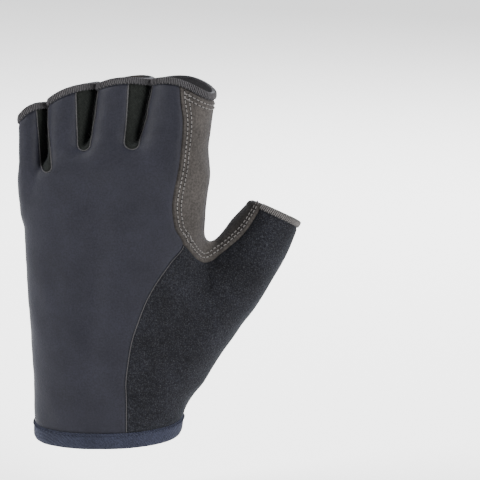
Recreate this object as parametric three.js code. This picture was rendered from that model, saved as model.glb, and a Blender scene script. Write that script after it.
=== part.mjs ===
// Half-finger trekking glove for the left hand, in the form that it has when worn.
// Millimetres. +Z points up to the fingers, -Y is the back of the hand, +Y the palm, +X the thumb side.
// The origin is the middle of the wrist opening, level with the lowest edge of the hem.
//
// The outer surface of the worn glove is one smooth form: a hand body through a table of sections, four finger
// sleeves and a thumb sleeve. Seam lines cut that surface into panels, and each panel is a wall of its own cloth.
import * as THREE from "three";

// Overall sizes of the worn glove.
const HAND_LENGTH = 160; // hem to the middle finger's opening
const PALM_WIDTH = 84; // across the knuckles
const PALM_DEPTH = 34; // back of the hand to palm, at the knuckles
const FINGER_DEPTH = 20; // back to palm side of a finger opening
const KNUCKLE_HEIGHT = 131; // hem to the crotch between the middle fingers
const FINGER_GAP = 0.7; // air between two finger sleeves
const THUMB_LENGTH = 95; // base of the thumb sleeve to its opening
const THUMB_WIDTH = 23; // across the thumb opening
const THUMB_SPREAD = 31; // degrees, from upright towards the thumb side
const THUMB_LEAN = 19; // degrees, from upright towards the palm

// Walls, seams and trims.
const SHELL_WALL = 1.1; // stretch softshell of the back
const KNIT_WALL = 1.2; // brushed knit of the thumb
const SUEDE_WALL = 1.3; // palm and web
const FOURCHETTE_WALL = 1.0; // strips between the fingers
const EDGE_WALL = 1.7; // overlocked edges, folded double
const HEM_WALL = 1.8; // jersey binding round the wrist
const TRIM_PROUD = 0.3; // how far edges and hem stand out of the panels
const PATCH_WALL = 2.4; // padded patch on the palm
const SEAM_GAP = 0.3; // between two sewn panels
const EDGE_HEIGHT = 3; // overlocked edge
const HEM_HEIGHT = 6.8; // jersey binding
const HEM_RISE = 5; // how much higher the hem is at the palm than at the back
const HEM_TILT = 2.4; // how much higher the hem is on the thumb side than on the little-finger side
const TAB_DROP = 6.5; // pull tab below the lowest edge of the hem
const TAB_WIDTH = 26; // pull tab
const TAB_CORNER = 8; // radius of its lower corners
const SLIT_HEIGHT = 34; // top of the wrist slit above the hem
const SLIT_WIDTH = 12.4; // wrist slit at the hem
const SLIT_BOW = 3; // how far the thumb panel's free edge bows away from the palm
const TAB_TOP = 21; // height at which the palm has narrowed to the tab
const TAB_FLARE = 8; // height over which it narrows
const TAB_TAPER = 2; // how much narrower the tab is at its end than at its top
const SIDE_SEAM = 3; // how far the little-finger side's seam lies from the middle towards the palm
const SIDE_BLEND = 5; // to either side of the middle, where lines of the back run into lines of the palm

// Softness of the joins between the forms.
const FINGER_BLEND = 7; // finger sleeves into the hand
const THUMB_BLEND = 17.5; // thumb sleeve into the hand, at the web
const WRIST_BLEND = 6; // thumb sleeve into the hand, at the wrist
const CROTCH_RADIUS = 7; // rounding of the hand's top between the fingers
const CROTCH_FOLD = 0.9; // rounding of the fold between two finger sleeves
const BLEND_RISE = { from: 0.15, to: 0.5 }; // the thumb's blend grows between these shares of HAND_LENGTH

// Sizes of the net that the surface is drawn with.
const CELL_WIDTH = 6.4;
const CELL_DEPTH = 5.3;
const CELL_HEIGHT = 7.4;
const KNUCKLE_CELL = 5.55; // height of the cells across the slots' round ends
const KNUCKLE_CELLS = { from: 0.7, to: 0.86 }; // shares of HAND_LENGTH between which those lie
const WALL_CELL = 1.35; // from the gap between two fingers to the nearest column on either side
const COLUMNS_EVEN = { from: 0.35, to: 0.76 }; // the columns go from even to the fingers' own between these shares
const SNAP = 1.1; // points that lie closer than this to a seam are moved onto it
const SHORTEST_EDGE = 0.05; // shorter edges are drawn together

// The lines of the back are drawn as seen by someone who looks at the back of the hand from slightly above it and
// slightly to the thumb side.
const VIEW_TURN = 8;
const VIEW_RISE = 12;

// Hand body, a row for each section: height as a share of HAND_LENGTH, reach to either side as shares of
// PALM_WIDTH, reach to the back and the palm as shares of PALM_DEPTH, and how square the section is.
const BODY_SECTIONS = [
  { up: -0.12, little: 0.375, thumb: 0.363, back: 0.59, palm: 0.62, square: 2.2 },
  { up: 0, little: 0.382, thumb: 0.368, back: 0.6, palm: 0.63, square: 2.2 },
  { up: 0.125, little: 0.382, thumb: 0.39, back: 0.6, palm: 0.68, square: 2.2 },
  { up: 0.25, little: 0.392, thumb: 0.42, back: 0.59, palm: 0.68, square: 2.3 },
  { up: 0.375, little: 0.408, thumb: 0.45, back: 0.56, palm: 0.61, square: 2.4 },
  { up: 0.5, little: 0.422, thumb: 0.46, back: 0.53, palm: 0.52, square: 2.5 },
  { up: 0.625, little: 0.43, thumb: 0.487, back: 0.5, palm: 0.47, square: 2.6 },
  { up: 0.75, little: 0.444, thumb: 0.512, back: 0.46, palm: 0.45, square: 2.6 },
  { up: 0.85, little: 0.45, thumb: 0.515, back: 0.4, palm: 0.44, square: 2.6 },
];

// Top of the hand body across the knuckles: place as a share of PALM_WIDTH, height as a share of KNUCKLE_HEIGHT.
const BODY_TOP = [
  { across: -0.48, up: 0.88 },
  { across: -0.3, up: 0.925 },
  { across: -0.1, up: 0.985 },
  { across: 0.15, up: 1 },
  { across: 0.36, up: 0.985 },
  { across: 0.52, up: 0.93 },
];

// Finger sleeves. Sides at the knuckles (foot) and at the opening (rim) as shares of PALM_WIDTH, middle depth at
// foot and rim and half depths as shares of FINGER_DEPTH, and the opening's height on the little-finger side, in
// the middle and on the thumb side as shares of HAND_LENGTH.
const FINGERS = [
  {
    name: "little",
    footLeft: -0.449, footRight: -0.298, rimLeft: -0.464, rimRight: -0.31,
    footMiddle: 0.06, rimMiddle: 0.28, footDepth: 0.58, rimDepth: 0.42,
    highLeft: 0.875, highMiddle: 0.91, highRight: 0.92,
  },
  {
    name: "ring",
    footLeft: -0.298, footRight: -0.094, rimLeft: -0.31, rimRight: -0.055,
    footMiddle: 0, rimMiddle: 0.24, footDepth: 0.72, rimDepth: 0.47,
    highLeft: 0.925, highMiddle: 0.962, highRight: 0.976,
  },
  {
    name: "middle",
    footLeft: -0.094, footRight: 0.15, rimLeft: -0.055, rimRight: 0.221,
    footMiddle: -0.02, rimMiddle: 0.22, footDepth: 0.75, rimDepth: 0.5,
    highLeft: 0.972, highMiddle: 0.994, highRight: 0.99,
  },
  {
    name: "index",
    footLeft: 0.15, footRight: 0.5, rimLeft: 0.221, rimRight: 0.548,
    footMiddle: -0.02, rimMiddle: 0.2, footDepth: 0.75, rimDepth: 0.5,
    highLeft: 0.99, highMiddle: 0.995, highRight: 0.956,
  },
];
const FINGER_FOOT = 0.76; // height of the feet as a share of HAND_LENGTH
const FINGER_RIM = 0.97; // height at which the rim columns hold, as a share of HAND_LENGTH
const FINGER_ROOT = 0.6; // where the sleeves end inside the hand, as a share of HAND_LENGTH
const ROOT_SINK = 0.4; // share of its depth that a sleeve loses inside the hand
const FINGER_SQUARE = 2.4;
const FINGER_SLANT = 0.2; // how far the walls between the fingers slant to the thumb side towards the palm
const FINGER_HOLD = 1.2; // beyond this share of the way from foot to rim a sleeve keeps its depth
const RIM_SLOPE = 0.13; // how fast an opening drops from the back to the palm side

// The middle between back and palm, which follows the fingers' lean above the hand and the thumb's lean outwards.
const LEAN_OF_FINGERS = { from: 0.66, to: 0.84 }; // shares of HAND_LENGTH
const LEAN_OF_THUMB = { from: 0.42, to: 0.62 }; // shares of PALM_WIDTH
const THUMB_FOOT = { up: 0.2, depth: 0.08 }; // where that lean starts: shares of HAND_LENGTH and PALM_DEPTH

// Thumb sleeve from its base to its opening: place along THUMB_LENGTH, half width and half depth as shares of
// THUMB_WIDTH, and how far the middle lies towards the palm, as a share of THUMB_WIDTH.
const THUMB_SECTIONS = [
  { along: 0, width: 0.54, depth: 0.6, lift: 0.36 },
  { along: 0.21, width: 0.53, depth: 0.68, lift: 0.3 },
  { along: 0.42, width: 0.56, depth: 0.7, lift: 0.2 },
  { along: 0.63, width: 0.62, depth: 0.64, lift: 0.08 },
  { along: 0.84, width: 0.6, depth: 0.56, lift: 0.02 },
  { along: 1, width: 0.48, depth: 0.46, lift: 0 },
];
const THUMB_RIM = { across: 0.834, depth: 0.61, up: 0.617 }; // opening's middle: PALM_WIDTH, PALM_DEPTH, HAND_LENGTH
const THUMB_RIM_SKEW = -0.13; // how fast the opening rises from its inner to its outer end, along the sleeve
const THUMB_GAP = 0.62; // between the index finger's and the thumb's openings, as a share of PALM_WIDTH

// Edge of the back panel on the thumb side, from the index finger's opening down to the hem: height as a share of
// HAND_LENGTH, place as a share of PALM_WIDTH.
const BACK_EDGE = [
  { up: 0, across: 0.09 },
  { up: 0.1, across: 0.091 },
  { up: 0.145, across: 0.088 },
  { up: 0.205, across: 0.1 },
  { up: 0.26, across: 0.118 },
  { up: 0.317, across: 0.153 },
  { up: 0.371, across: 0.194 },
  { up: 0.42, across: 0.245 },
  { up: 0.475, across: 0.319 },
  { up: 0.524, across: 0.386 },
  { up: 0.572, across: 0.342 },
  { up: 0.626, across: 0.33 },
  { up: 0.644, across: 0.333 },
  { up: 0.747, across: 0.369 },
  { up: 0.85, across: 0.384 },
  { up: 0.914, across: 0.37 },
  { up: 1, across: 0.36 },
];

// Lower edge of the web panel, from the back panel over its corner to the thumb opening: place as a share of
// PALM_WIDTH, height as a share of HAND_LENGTH.
const WEB_EDGE = [
  { across: 0.2, up: 0.56 },
  { across: 0.386, up: 0.524 },
  { across: 0.464, up: 0.484 },
  { across: 0.497, up: 0.477 },
  { across: 0.6, up: 0.511 },
  { across: 0.7, up: 0.559 },
  { across: 0.79, up: 0.632 },
  { across: 0.9, up: 0.74 },
];

// Seam between the palm panel and the web and thumb panels, from the index finger's opening to the slit: height
// as a share of HAND_LENGTH, place as a share of PALM_WIDTH.
const PALM_EDGE = [
  { up: 0.21, across: 0.12 },
  { up: 0.24, across: 0.147 },
  { up: 0.28, across: 0.179 },
  { up: 0.37, across: 0.215 },
  { up: 0.47, across: 0.262 },
  { up: 0.53, across: 0.304 },
  { up: 0.58, across: 0.322 },
  { up: 0.64, across: 0.32 },
  { up: 0.72, across: 0.316 },
  { up: 0.85, across: 0.31 },
  { up: 1, across: 0.298 },
];

// Slots between the fingers. On the back: middle and half width at the slot's round end, halfway and at the
// opening, and the heights of the end and the opening. On the palm: middle and half width at the end and at the
// opening. Widths and places are shares of PALM_WIDTH, heights of HAND_LENGTH.
const SLOTS = [
  {
    name: "fourchette_little_ring",
    end: -0.314, endHalf: 0.024, endUp: 0.733, half: -0.327, halfHalf: 0.024, halfUp: 0.82,
    rim: -0.34, rimHalf: 0.024, rimUp: 0.894,
    palmEnd: -0.312, palmEndHalf: 0.028, palmEndUp: 0.775, palmRim: -0.322, palmRimHalf: 0.03, palmRimUp: 0.9,
  },
  {
    name: "fourchette_ring_middle",
    end: -0.121, endHalf: 0.03, endUp: 0.794, half: -0.111, halfHalf: 0.045, halfUp: 0.87,
    rim: -0.106, rimHalf: 0.055, rimUp: 0.95,
    palmEnd: -0.09, palmEndHalf: 0.03, palmEndUp: 0.815, palmRim: -0.06, palmRimHalf: 0.042, palmRimUp: 0.96,
  },
  {
    name: "fourchette_middle_index",
    end: 0.124, endHalf: 0.035, endUp: 0.8, half: 0.15, halfHalf: 0.05, halfUp: 0.869,
    rim: 0.164, rimHalf: 0.054, rimUp: 0.956,
    palmEnd: 0.152, palmEndHalf: 0.028, palmEndUp: 0.815, palmRim: 0.2, palmRimHalf: 0.038, palmRimUp: 0.97,
  },
];
const SLOT_DEEPEN = 7; // how fast a slot opens out from the back or the palm into the wall between the fingers

// Padded patch on the palm: each row is a straight side through a point, and the direction that points out of
// the patch, in degrees from the thumb side towards the fingers.
const PATCH_SIDES = [
  { across: -0.1, up: 0.472, out: 105 },
  { across: 0.09, up: 0.42, out: -13 },
  { across: 0.07, up: 0.345, out: -55 },
  { across: -0.16, up: 0.262, out: -67 },
];
const PATCH_CORNER = 3;
const PATCH_INSET = 4; // from the side seam

const rad = THREE.MathUtils.degToRad;
const clamp = THREE.MathUtils.clamp;
const lerp = THREE.MathUtils.lerp;

// Smooth step from 0 at one value to 1 at another, which may be the lower one.
function smooth(x, from, to) {
  const t = clamp((x - from) / (to - from), 0, 1);
  return t * t * (3 - 2 * t);
}

// A table's column as a smooth line: cubic between rows, with no overshoot at a row that is a peak.
function along(table, key, column, at) {
  let i = 0;
  while (i < table.length - 2 && at > table[i + 1][key]) i += 1;
  const slope = (k) => {
    const a = table[k];
    const b = table[k + 1];
    return (b[column] - a[column]) / (b[key] - a[key]);
  };
  const tangent = (k) => {
    if (k <= 0) return slope(0);
    if (k >= table.length - 1) return slope(table.length - 2);
    const before = slope(k - 1);
    const after = slope(k);
    return before * after <= 0 ? 0 : (2 * before * after) / (before + after);
  };
  const a = table[i];
  const b = table[i + 1];
  const span = b[key] - a[key];
  const t = clamp((at - a[key]) / span, 0, 1);
  const t2 = t * t;
  const t3 = t2 * t;
  return (
    (2 * t3 - 3 * t2 + 1) * a[column] +
    (t3 - 2 * t2 + t) * span * tangent(i) +
    (-2 * t3 + 3 * t2) * b[column] +
    (t3 - t2) * span * tangent(i + 1)
  );
}

// Smaller of two values with a rounded corner of the given size, and the larger.
function softMin(a, b, size) {
  const h = Math.max(size - Math.abs(a - b), 0) / size;
  return Math.min(a, b) - (h * h * size) / 4;
}
const softMax = (a, b, size) => -softMin(-a, -b, size);

// Distance of a point outside a rounded oblong section, measured outwards from its middle.
const NEAR_MIDDLE = 0.05;
function outside(dx, dy, halfWidth, halfDepth, square) {
  const ratio =
    (Math.abs(dx / halfWidth) ** square + Math.abs(dy / halfDepth) ** square) ** (1 / square);
  const reach = Math.hypot(dx, dy);
  if (ratio < NEAR_MIDDLE) return -Math.min(halfWidth, halfDepth);
  return reach * (1 - 1 / ratio);
}

// Hand body.
function handBody(x, y, z) {
  const up = z / HAND_LENGTH;
  const side = x < 0 ? "little" : "thumb";
  const face = y < 0 ? "back" : "palm";
  const halfWidth = along(BODY_SECTIONS, "up", side, up) * PALM_WIDTH;
  const halfDepth = along(BODY_SECTIONS, "up", face, up) * PALM_DEPTH;
  const square = along(BODY_SECTIONS, "up", "square", up);
  const top = along(BODY_TOP, "across", "up", x / PALM_WIDTH) * KNUCKLE_HEIGHT;
  return softMax(outside(x, y, halfWidth, halfDepth, square), z - top, CROTCH_RADIUS);
}

// Sides, middle and depth of a finger sleeve at a height.
function fingerSection(finger, z) {
  const share = (z / HAND_LENGTH - FINGER_FOOT) / (FINGER_RIM - FINGER_FOOT);
  const left = lerp(finger.footLeft, finger.rimLeft, share) * PALM_WIDTH + FINGER_GAP / 2;
  const right = lerp(finger.footRight, finger.rimRight, share) * PALM_WIDTH - FINGER_GAP / 2;
  const held = clamp(share, 0, FINGER_HOLD);
  const sunk = 1 - ROOT_SINK * smooth(z / HAND_LENGTH, FINGER_FOOT, FINGER_ROOT);
  return {
    middleX: (left + right) / 2,
    halfWidth: (right - left) / 2,
    middleY: lerp(finger.footMiddle, finger.rimMiddle, held) * FINGER_DEPTH,
    halfDepth: lerp(finger.footDepth, finger.rimDepth, held) * FINGER_DEPTH * sunk,
  };
}

function fingerSleeve(finger, x, y, z) {
  const s = fingerSection(finger, z);
  const deep = y - s.middleY;
  const tube = outside(x - s.middleX - FINGER_SLANT * deep, deep, s.halfWidth, s.halfDepth, FINGER_SQUARE);
  return softMax(tube, FINGER_ROOT * HAND_LENGTH - z, FINGER_BLEND);
}

// Directions of the thumb sleeve: along it, across it to the outside and towards the palm.
const THUMB_ALONG = new THREE.Vector3(Math.tan(rad(THUMB_SPREAD)), Math.tan(rad(THUMB_LEAN)), 1).normalize();
const THUMB_ACROSS = new THREE.Vector3(1, 0, -Math.tan(rad(THUMB_SPREAD)));
THUMB_ACROSS.addScaledVector(THUMB_ALONG, -THUMB_ACROSS.dot(THUMB_ALONG)).normalize();
const THUMB_PALMWARD = new THREE.Vector3().crossVectors(THUMB_ALONG, THUMB_ACROSS);
if (THUMB_PALMWARD.y < 0) THUMB_PALMWARD.negate();
const THUMB_OPENING = new THREE.Vector3(
  THUMB_RIM.across * PALM_WIDTH,
  THUMB_RIM.depth * PALM_DEPTH,
  THUMB_RIM.up * HAND_LENGTH,
);

// A point in the thumb sleeve's own directions, with the sleeve's section there.
function thumbPlace(x, y, z) {
  const from = new THREE.Vector3(x, y, z).sub(THUMB_OPENING);
  const distance = from.dot(THUMB_ALONG);
  const share = 1 + distance / THUMB_LENGTH;
  const lift = along(THUMB_SECTIONS, "along", "lift", share) * THUMB_WIDTH;
  return {
    distance,
    share,
    across: from.dot(THUMB_ACROSS),
    palmward: from.dot(THUMB_PALMWARD) - lift,
    halfWidth: along(THUMB_SECTIONS, "along", "width", share) * THUMB_WIDTH,
    halfDepth: along(THUMB_SECTIONS, "along", "depth", share) * THUMB_WIDTH,
  };
}

function thumbSleeve(x, y, z) {
  const p = thumbPlace(x, y, z);
  const tube = outside(p.across, p.palmward, p.halfWidth, p.halfDepth, 2);
  return softMax(tube, -THUMB_LENGTH - p.distance, THUMB_BLEND);
}

// The whole outer surface: negative inside the glove.
function gloveForm(x, y, z) {
  const grown = smooth(z / HAND_LENGTH, BLEND_RISE.from, BLEND_RISE.to);
  const blend = lerp(WRIST_BLEND, THUMB_BLEND, grown);
  const hand = softMin(handBody(x, y, z), thumbSleeve(x, y, z), blend);
  let form = hand;
  for (const finger of FINGERS) {
    form = softMin(form, softMin(hand, fingerSleeve(finger, x, y, z), FINGER_BLEND), CROTCH_FOLD);
  }
  return form;
}

// How fast a field grows each way at a point.
function slopeOf(field, p) {
  const step = 0.05;
  return new THREE.Vector3(
    field(p.x + step, p.y, p.z) - field(p.x - step, p.y, p.z),
    field(p.x, p.y + step, p.z) - field(p.x, p.y - step, p.z),
    field(p.x, p.y, p.z + step) - field(p.x, p.y, p.z - step),
  ).divideScalar(2 * step);
}

// Moves a point onto the surface, at most the given way in all.
function settle(p, most) {
  const start = p.clone();
  for (let i = 0; i < 4; i += 1) {
    const slope = slopeOf(gloveForm, p);
    const size = Math.max(slope.lengthSq(), NEAR_MIDDLE);
    p.addScaledVector(slope, -gloveForm(p.x, p.y, p.z) / size);
  }
  const moved = p.clone().sub(start);
  if (moved.length() > most) p.copy(start).addScaledVector(moved, most / moved.length());
  return p;
}

// Height of a finger's opening. It drops to either side and to the palm.
function rimHeight(finger, x, y, z) {
  const s = fingerSection(finger, z);
  const t = clamp((x - s.middleX - FINGER_SLANT * (y - s.middleY)) / s.halfWidth, -FINGER_HOLD, FINGER_HOLD);
  const bend = (finger.highLeft + finger.highRight) / 2 - finger.highMiddle;
  const tilt = (finger.highRight - finger.highLeft) / 2;
  const high = (finger.highMiddle + tilt * t + bend * t * t) * HAND_LENGTH;
  return high - RIM_SLOPE * (y - s.middleY);
}

function fingerAt(x, y, z) {
  for (const finger of FINGERS.slice(0, -1)) {
    const s = fingerSection(finger, z);
    if (x - FINGER_SLANT * (y - s.middleY) < s.middleX + s.halfWidth + FINGER_GAP / 2) return finger;
  }
  return FINGERS[FINGERS.length - 1];
}

// How far a point lies below the finger openings.
function belowRims(x, y, z) {
  return rimHeight(fingerAt(x, y, z), x, y, z) - z;
}

// How far a point lies below the thumb opening, along the sleeve, or off the sleeve towards the fingers.
function belowThumbRim(x, y, z) {
  const p = thumbPlace(x, y, z);
  return Math.max(-p.distance - THUMB_RIM_SKEW * p.across, THUMB_GAP * PALM_WIDTH - x);
}

// Depth of the middle between back and palm: it follows the lean of the fingers and the thumb.
function middleDepth(x, z) {
  const finger = fingerSection(fingerAt(x, 0, z), z).middleY;
  const atFingers = finger * smooth(z / HAND_LENGTH, LEAN_OF_FINGERS.from, LEAN_OF_FINGERS.to);
  const out = smooth(x / PALM_WIDTH, LEAN_OF_THUMB.from, LEAN_OF_THUMB.to);
  const share = Math.max((z / HAND_LENGTH - THUMB_FOOT.up) / (THUMB_RIM.up - THUMB_FOOT.up), 0);
  const atThumb = lerp(THUMB_FOOT.depth, THUMB_RIM.depth, share) * PALM_DEPTH;
  return lerp(atFingers, atThumb, out);
}

// A point as seen from the back of the hand, across and up the view.
const TURN = [Math.cos(rad(VIEW_TURN)), Math.sin(rad(VIEW_TURN))];
const RISE = [Math.cos(rad(VIEW_RISE)), Math.sin(rad(VIEW_RISE))];
function seen(x, y, z) {
  return { u: x * TURN[0] + y * TURN[1], v: z * RISE[0] + (y * TURN[0] - x * TURN[1]) * RISE[1] };
}

// Blends a line of the back into a line of the palm round the sides.
function roundTheSide(x, y, z, onBack, onPalm) {
  const t = smooth(y - middleDepth(x, z), -SIDE_BLEND, SIDE_BLEND);
  const back = t < 1 ? onBack() : 0;
  const palm = t > 0 ? onPalm() : 0;
  return lerp(back, palm, t);
}

// Positive on the thumb side of the seam that ends the back panel, and of the palm's seam on the palm side.
function thumbSide(x, y, z) {
  return roundTheSide(
    x, y, z,
    () => {
      const p = seen(x, y, z);
      return p.u - along(BACK_EDGE, "up", "across", p.v / HAND_LENGTH) * PALM_WIDTH;
    },
    () => x - along(PALM_EDGE, "up", "across", z / HAND_LENGTH) * PALM_WIDTH,
  );
}

// Positive above the web panel's lower edge.
function aboveWebEdge(x, y, z) {
  return roundTheSide(
    x, y, z,
    () => {
      const p = seen(x, y, z);
      return p.v - along(WEB_EDGE, "across", "up", p.u / PALM_WIDTH) * HAND_LENGTH;
    },
    () => z - along(WEB_EDGE, "across", "up", x / PALM_WIDTH) * HAND_LENGTH,
  );
}

// Positive on the back's side of the seam along the little-finger side.
function backSide(x, y, z) {
  return middleDepth(x, z) + SIDE_SEAM - y;
}

// Positive inside a slot between two fingers.
function slotShape(across, up, rows) {
  const [end, half, rim] = rows;
  if (up < end.up) return end.width - Math.hypot(across - end.middle, up - end.up);
  const share = up < half.up ? (up - end.up) / (half.up - end.up) : 1 + (up - half.up) / (rim.up - half.up);
  const a = share < 1 ? end : half;
  const b = share < 1 ? half : rim;
  const t = share < 1 ? share : share - 1;
  return lerp(a.width, b.width, t) - Math.abs(across - lerp(a.middle, b.middle, t));
}

function insideSlot(slot, x, y, z) {
  const row = (middle, width, up) => ({
    middle: middle * PALM_WIDTH,
    width: width * PALM_WIDTH,
    up: up * HAND_LENGTH,
  });
  const onBack = [
    row(slot.end, slot.endHalf, slot.endUp),
    row(slot.half, slot.halfHalf, slot.halfUp),
    row(slot.rim, slot.rimHalf, slot.rimUp),
  ];
  const halfway = [slot.palmEnd + slot.palmRim, slot.palmEndHalf + slot.palmRimHalf, slot.palmEndUp + slot.palmRimUp];
  const onPalm = [
    row(slot.palmEnd, slot.palmEndHalf, slot.palmEndUp),
    row(halfway[0] / 2, halfway[1] / 2, halfway[2] / 2),
    row(slot.palmRim, slot.palmRimHalf, slot.palmRimUp),
  ];
  const depth = y - middleDepth(x, z);
  const p = seen(x, y, z);
  return roundTheSide(
    x, y, z,
    () => slotShape(p.u, p.v, onBack) + SLOT_DEEPEN * smooth(depth, -SLOT_DEEPEN, 0),
    () => slotShape(x, z, onPalm) + SLOT_DEEPEN * smooth(-depth, -SLOT_DEEPEN, 0),
  );
}

// Height of the hem's lower edge.
function hemHeight(x, y) {
  const wrist = BODY_SECTIONS[1];
  const depth = (wrist.back + wrist.palm) * PALM_DEPTH;
  const width = (wrist.little + wrist.thumb) * PALM_WIDTH;
  return HEM_RISE * (0.5 + y / depth) + HEM_TILT * (x / width);
}

// The wrist slit: its edge on the thumb panel and the free edge of the palm.
const SLIT_TOP = along(PALM_EDGE, "up", "across", SLIT_HEIGHT / HAND_LENGTH) * PALM_WIDTH;
const slitOpen = (z) => Math.max(1 - z / SLIT_HEIGHT, 0);
const thumbFreeEdge = (z) => SLIT_TOP - SLIT_BOW * Math.sin(Math.PI * Math.min(slitOpen(z), 1));
const palmFreeEdge = (z) => thumbFreeEdge(z) - SLIT_WIDTH * Math.sqrt(slitOpen(z));

// Positive inside the outline of the pull tab, which the palm narrows to below the heel of the hand.
function insideTab(x, z) {
  const flare = PALM_WIDTH * smooth(z, TAB_TOP - TAB_FLARE, TAB_TOP);
  const left = palmFreeEdge(z) - TAB_WIDTH - flare - TAB_TAPER * smooth(z, -TAB_DROP, TAB_TOP);
  return softMin(x - left, z + TAB_DROP, TAB_CORNER);
}

function insidePatch(x, y, z) {
  let inside = -backSide(x, y, z) - PATCH_INSET;
  for (const side of PATCH_SIDES) {
    const dx = x - side.across * PALM_WIDTH;
    const dz = z - side.up * HAND_LENGTH;
    const out = dx * Math.cos(rad(side.out)) + dz * Math.sin(rad(side.out));
    inside = softMin(inside, -out, PATCH_CORNER);
  }
  return inside;
}

// Seam lines: each is zero on the seam. A panel lies on one side of some of them.
const SEAMS = {
  thumbSide,
  aboveWebEdge,
  backSide,
  belowRims,
  belowThumbRim,
  belowEdges: (x, y, z) => belowRims(x, y, z) - EDGE_HEIGHT,
  belowThumbEdge: (x, y, z) => belowThumbRim(x, y, z) - EDGE_HEIGHT,
  aboveHem: (x, y, z) => z - hemHeight(x, y),
  aboveHemBand: (x, y, z) => z - hemHeight(x, y) - HEM_HEIGHT,
  thumbBesideSlit: (x, y, z) => Math.max(backSide(x, y, z), x - thumbFreeEdge(z), z - SLIT_HEIGHT),
  palmBesideSlit: (x, y, z) => Math.max(palmFreeEdge(z) - x, z - SLIT_HEIGHT),
  insideTab: (x, y, z) => insideTab(x, z),
  hemRound: (x, y, z) => Math.max(backSide(x, y, z), x - thumbFreeEdge(z)),
  insidePatch,
};
for (const slot of SLOTS) SEAMS[slot.name] = (x, y, z) => insideSlot(slot, x, y, z);
SEAMS.awayFromPalm = (x, y, z) => {
  let away = Math.max(backSide(x, y, z), thumbSide(x, y, z));
  for (const slot of SLOTS) away = Math.max(away, insideSlot(slot, x, y, z));
  return away;
};

// Columns of the net: one on each gap between the fingers with one close on either side of it, and even steps
// across the fingers. Towards the wrist they even out.
function columnsAt(z) {
  const knuckles = FINGER_FOOT * HAND_LENGTH;
  const height = Math.max(z, knuckles);
  const lines = [];
  const wall = WALL_CELL;
  for (const [i, finger] of FINGERS.entries()) {
    const s = fingerSection(finger, height);
    const left = s.middleX - s.halfWidth - FINGER_GAP / 2;
    const right = s.middleX + s.halfWidth + FINGER_GAP / 2;
    if (i === 0) lines.push(left - CELL_WIDTH, left);
    else lines.push(left, left + wall);
    const footWidth = (finger.footRight - finger.footLeft) * PALM_WIDTH;
    const inner = Math.max(2, Math.round(footWidth / CELL_WIDTH));
    for (let k = 1; k < inner; k += 1) lines.push(lerp(left + wall, right - wall, k / inner));
    lines.push(right - wall);
  }
  const evenFrom = lines[0];
  const evenTo = lines[lines.length - 1];
  const even = 1 - smooth(z / HAND_LENGTH, COLUMNS_EVEN.from, COLUMNS_EVEN.to);
  const columns = lines.map((line, k) => lerp(line, lerp(evenFrom, evenTo, k / (lines.length - 1)), even));
  const reach = THUMB_OPENING.x + THUMB_WIDTH;
  for (let x = evenTo + CELL_WIDTH; x < reach; x += CELL_WIDTH) columns.push(x);
  return columns;
}

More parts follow.
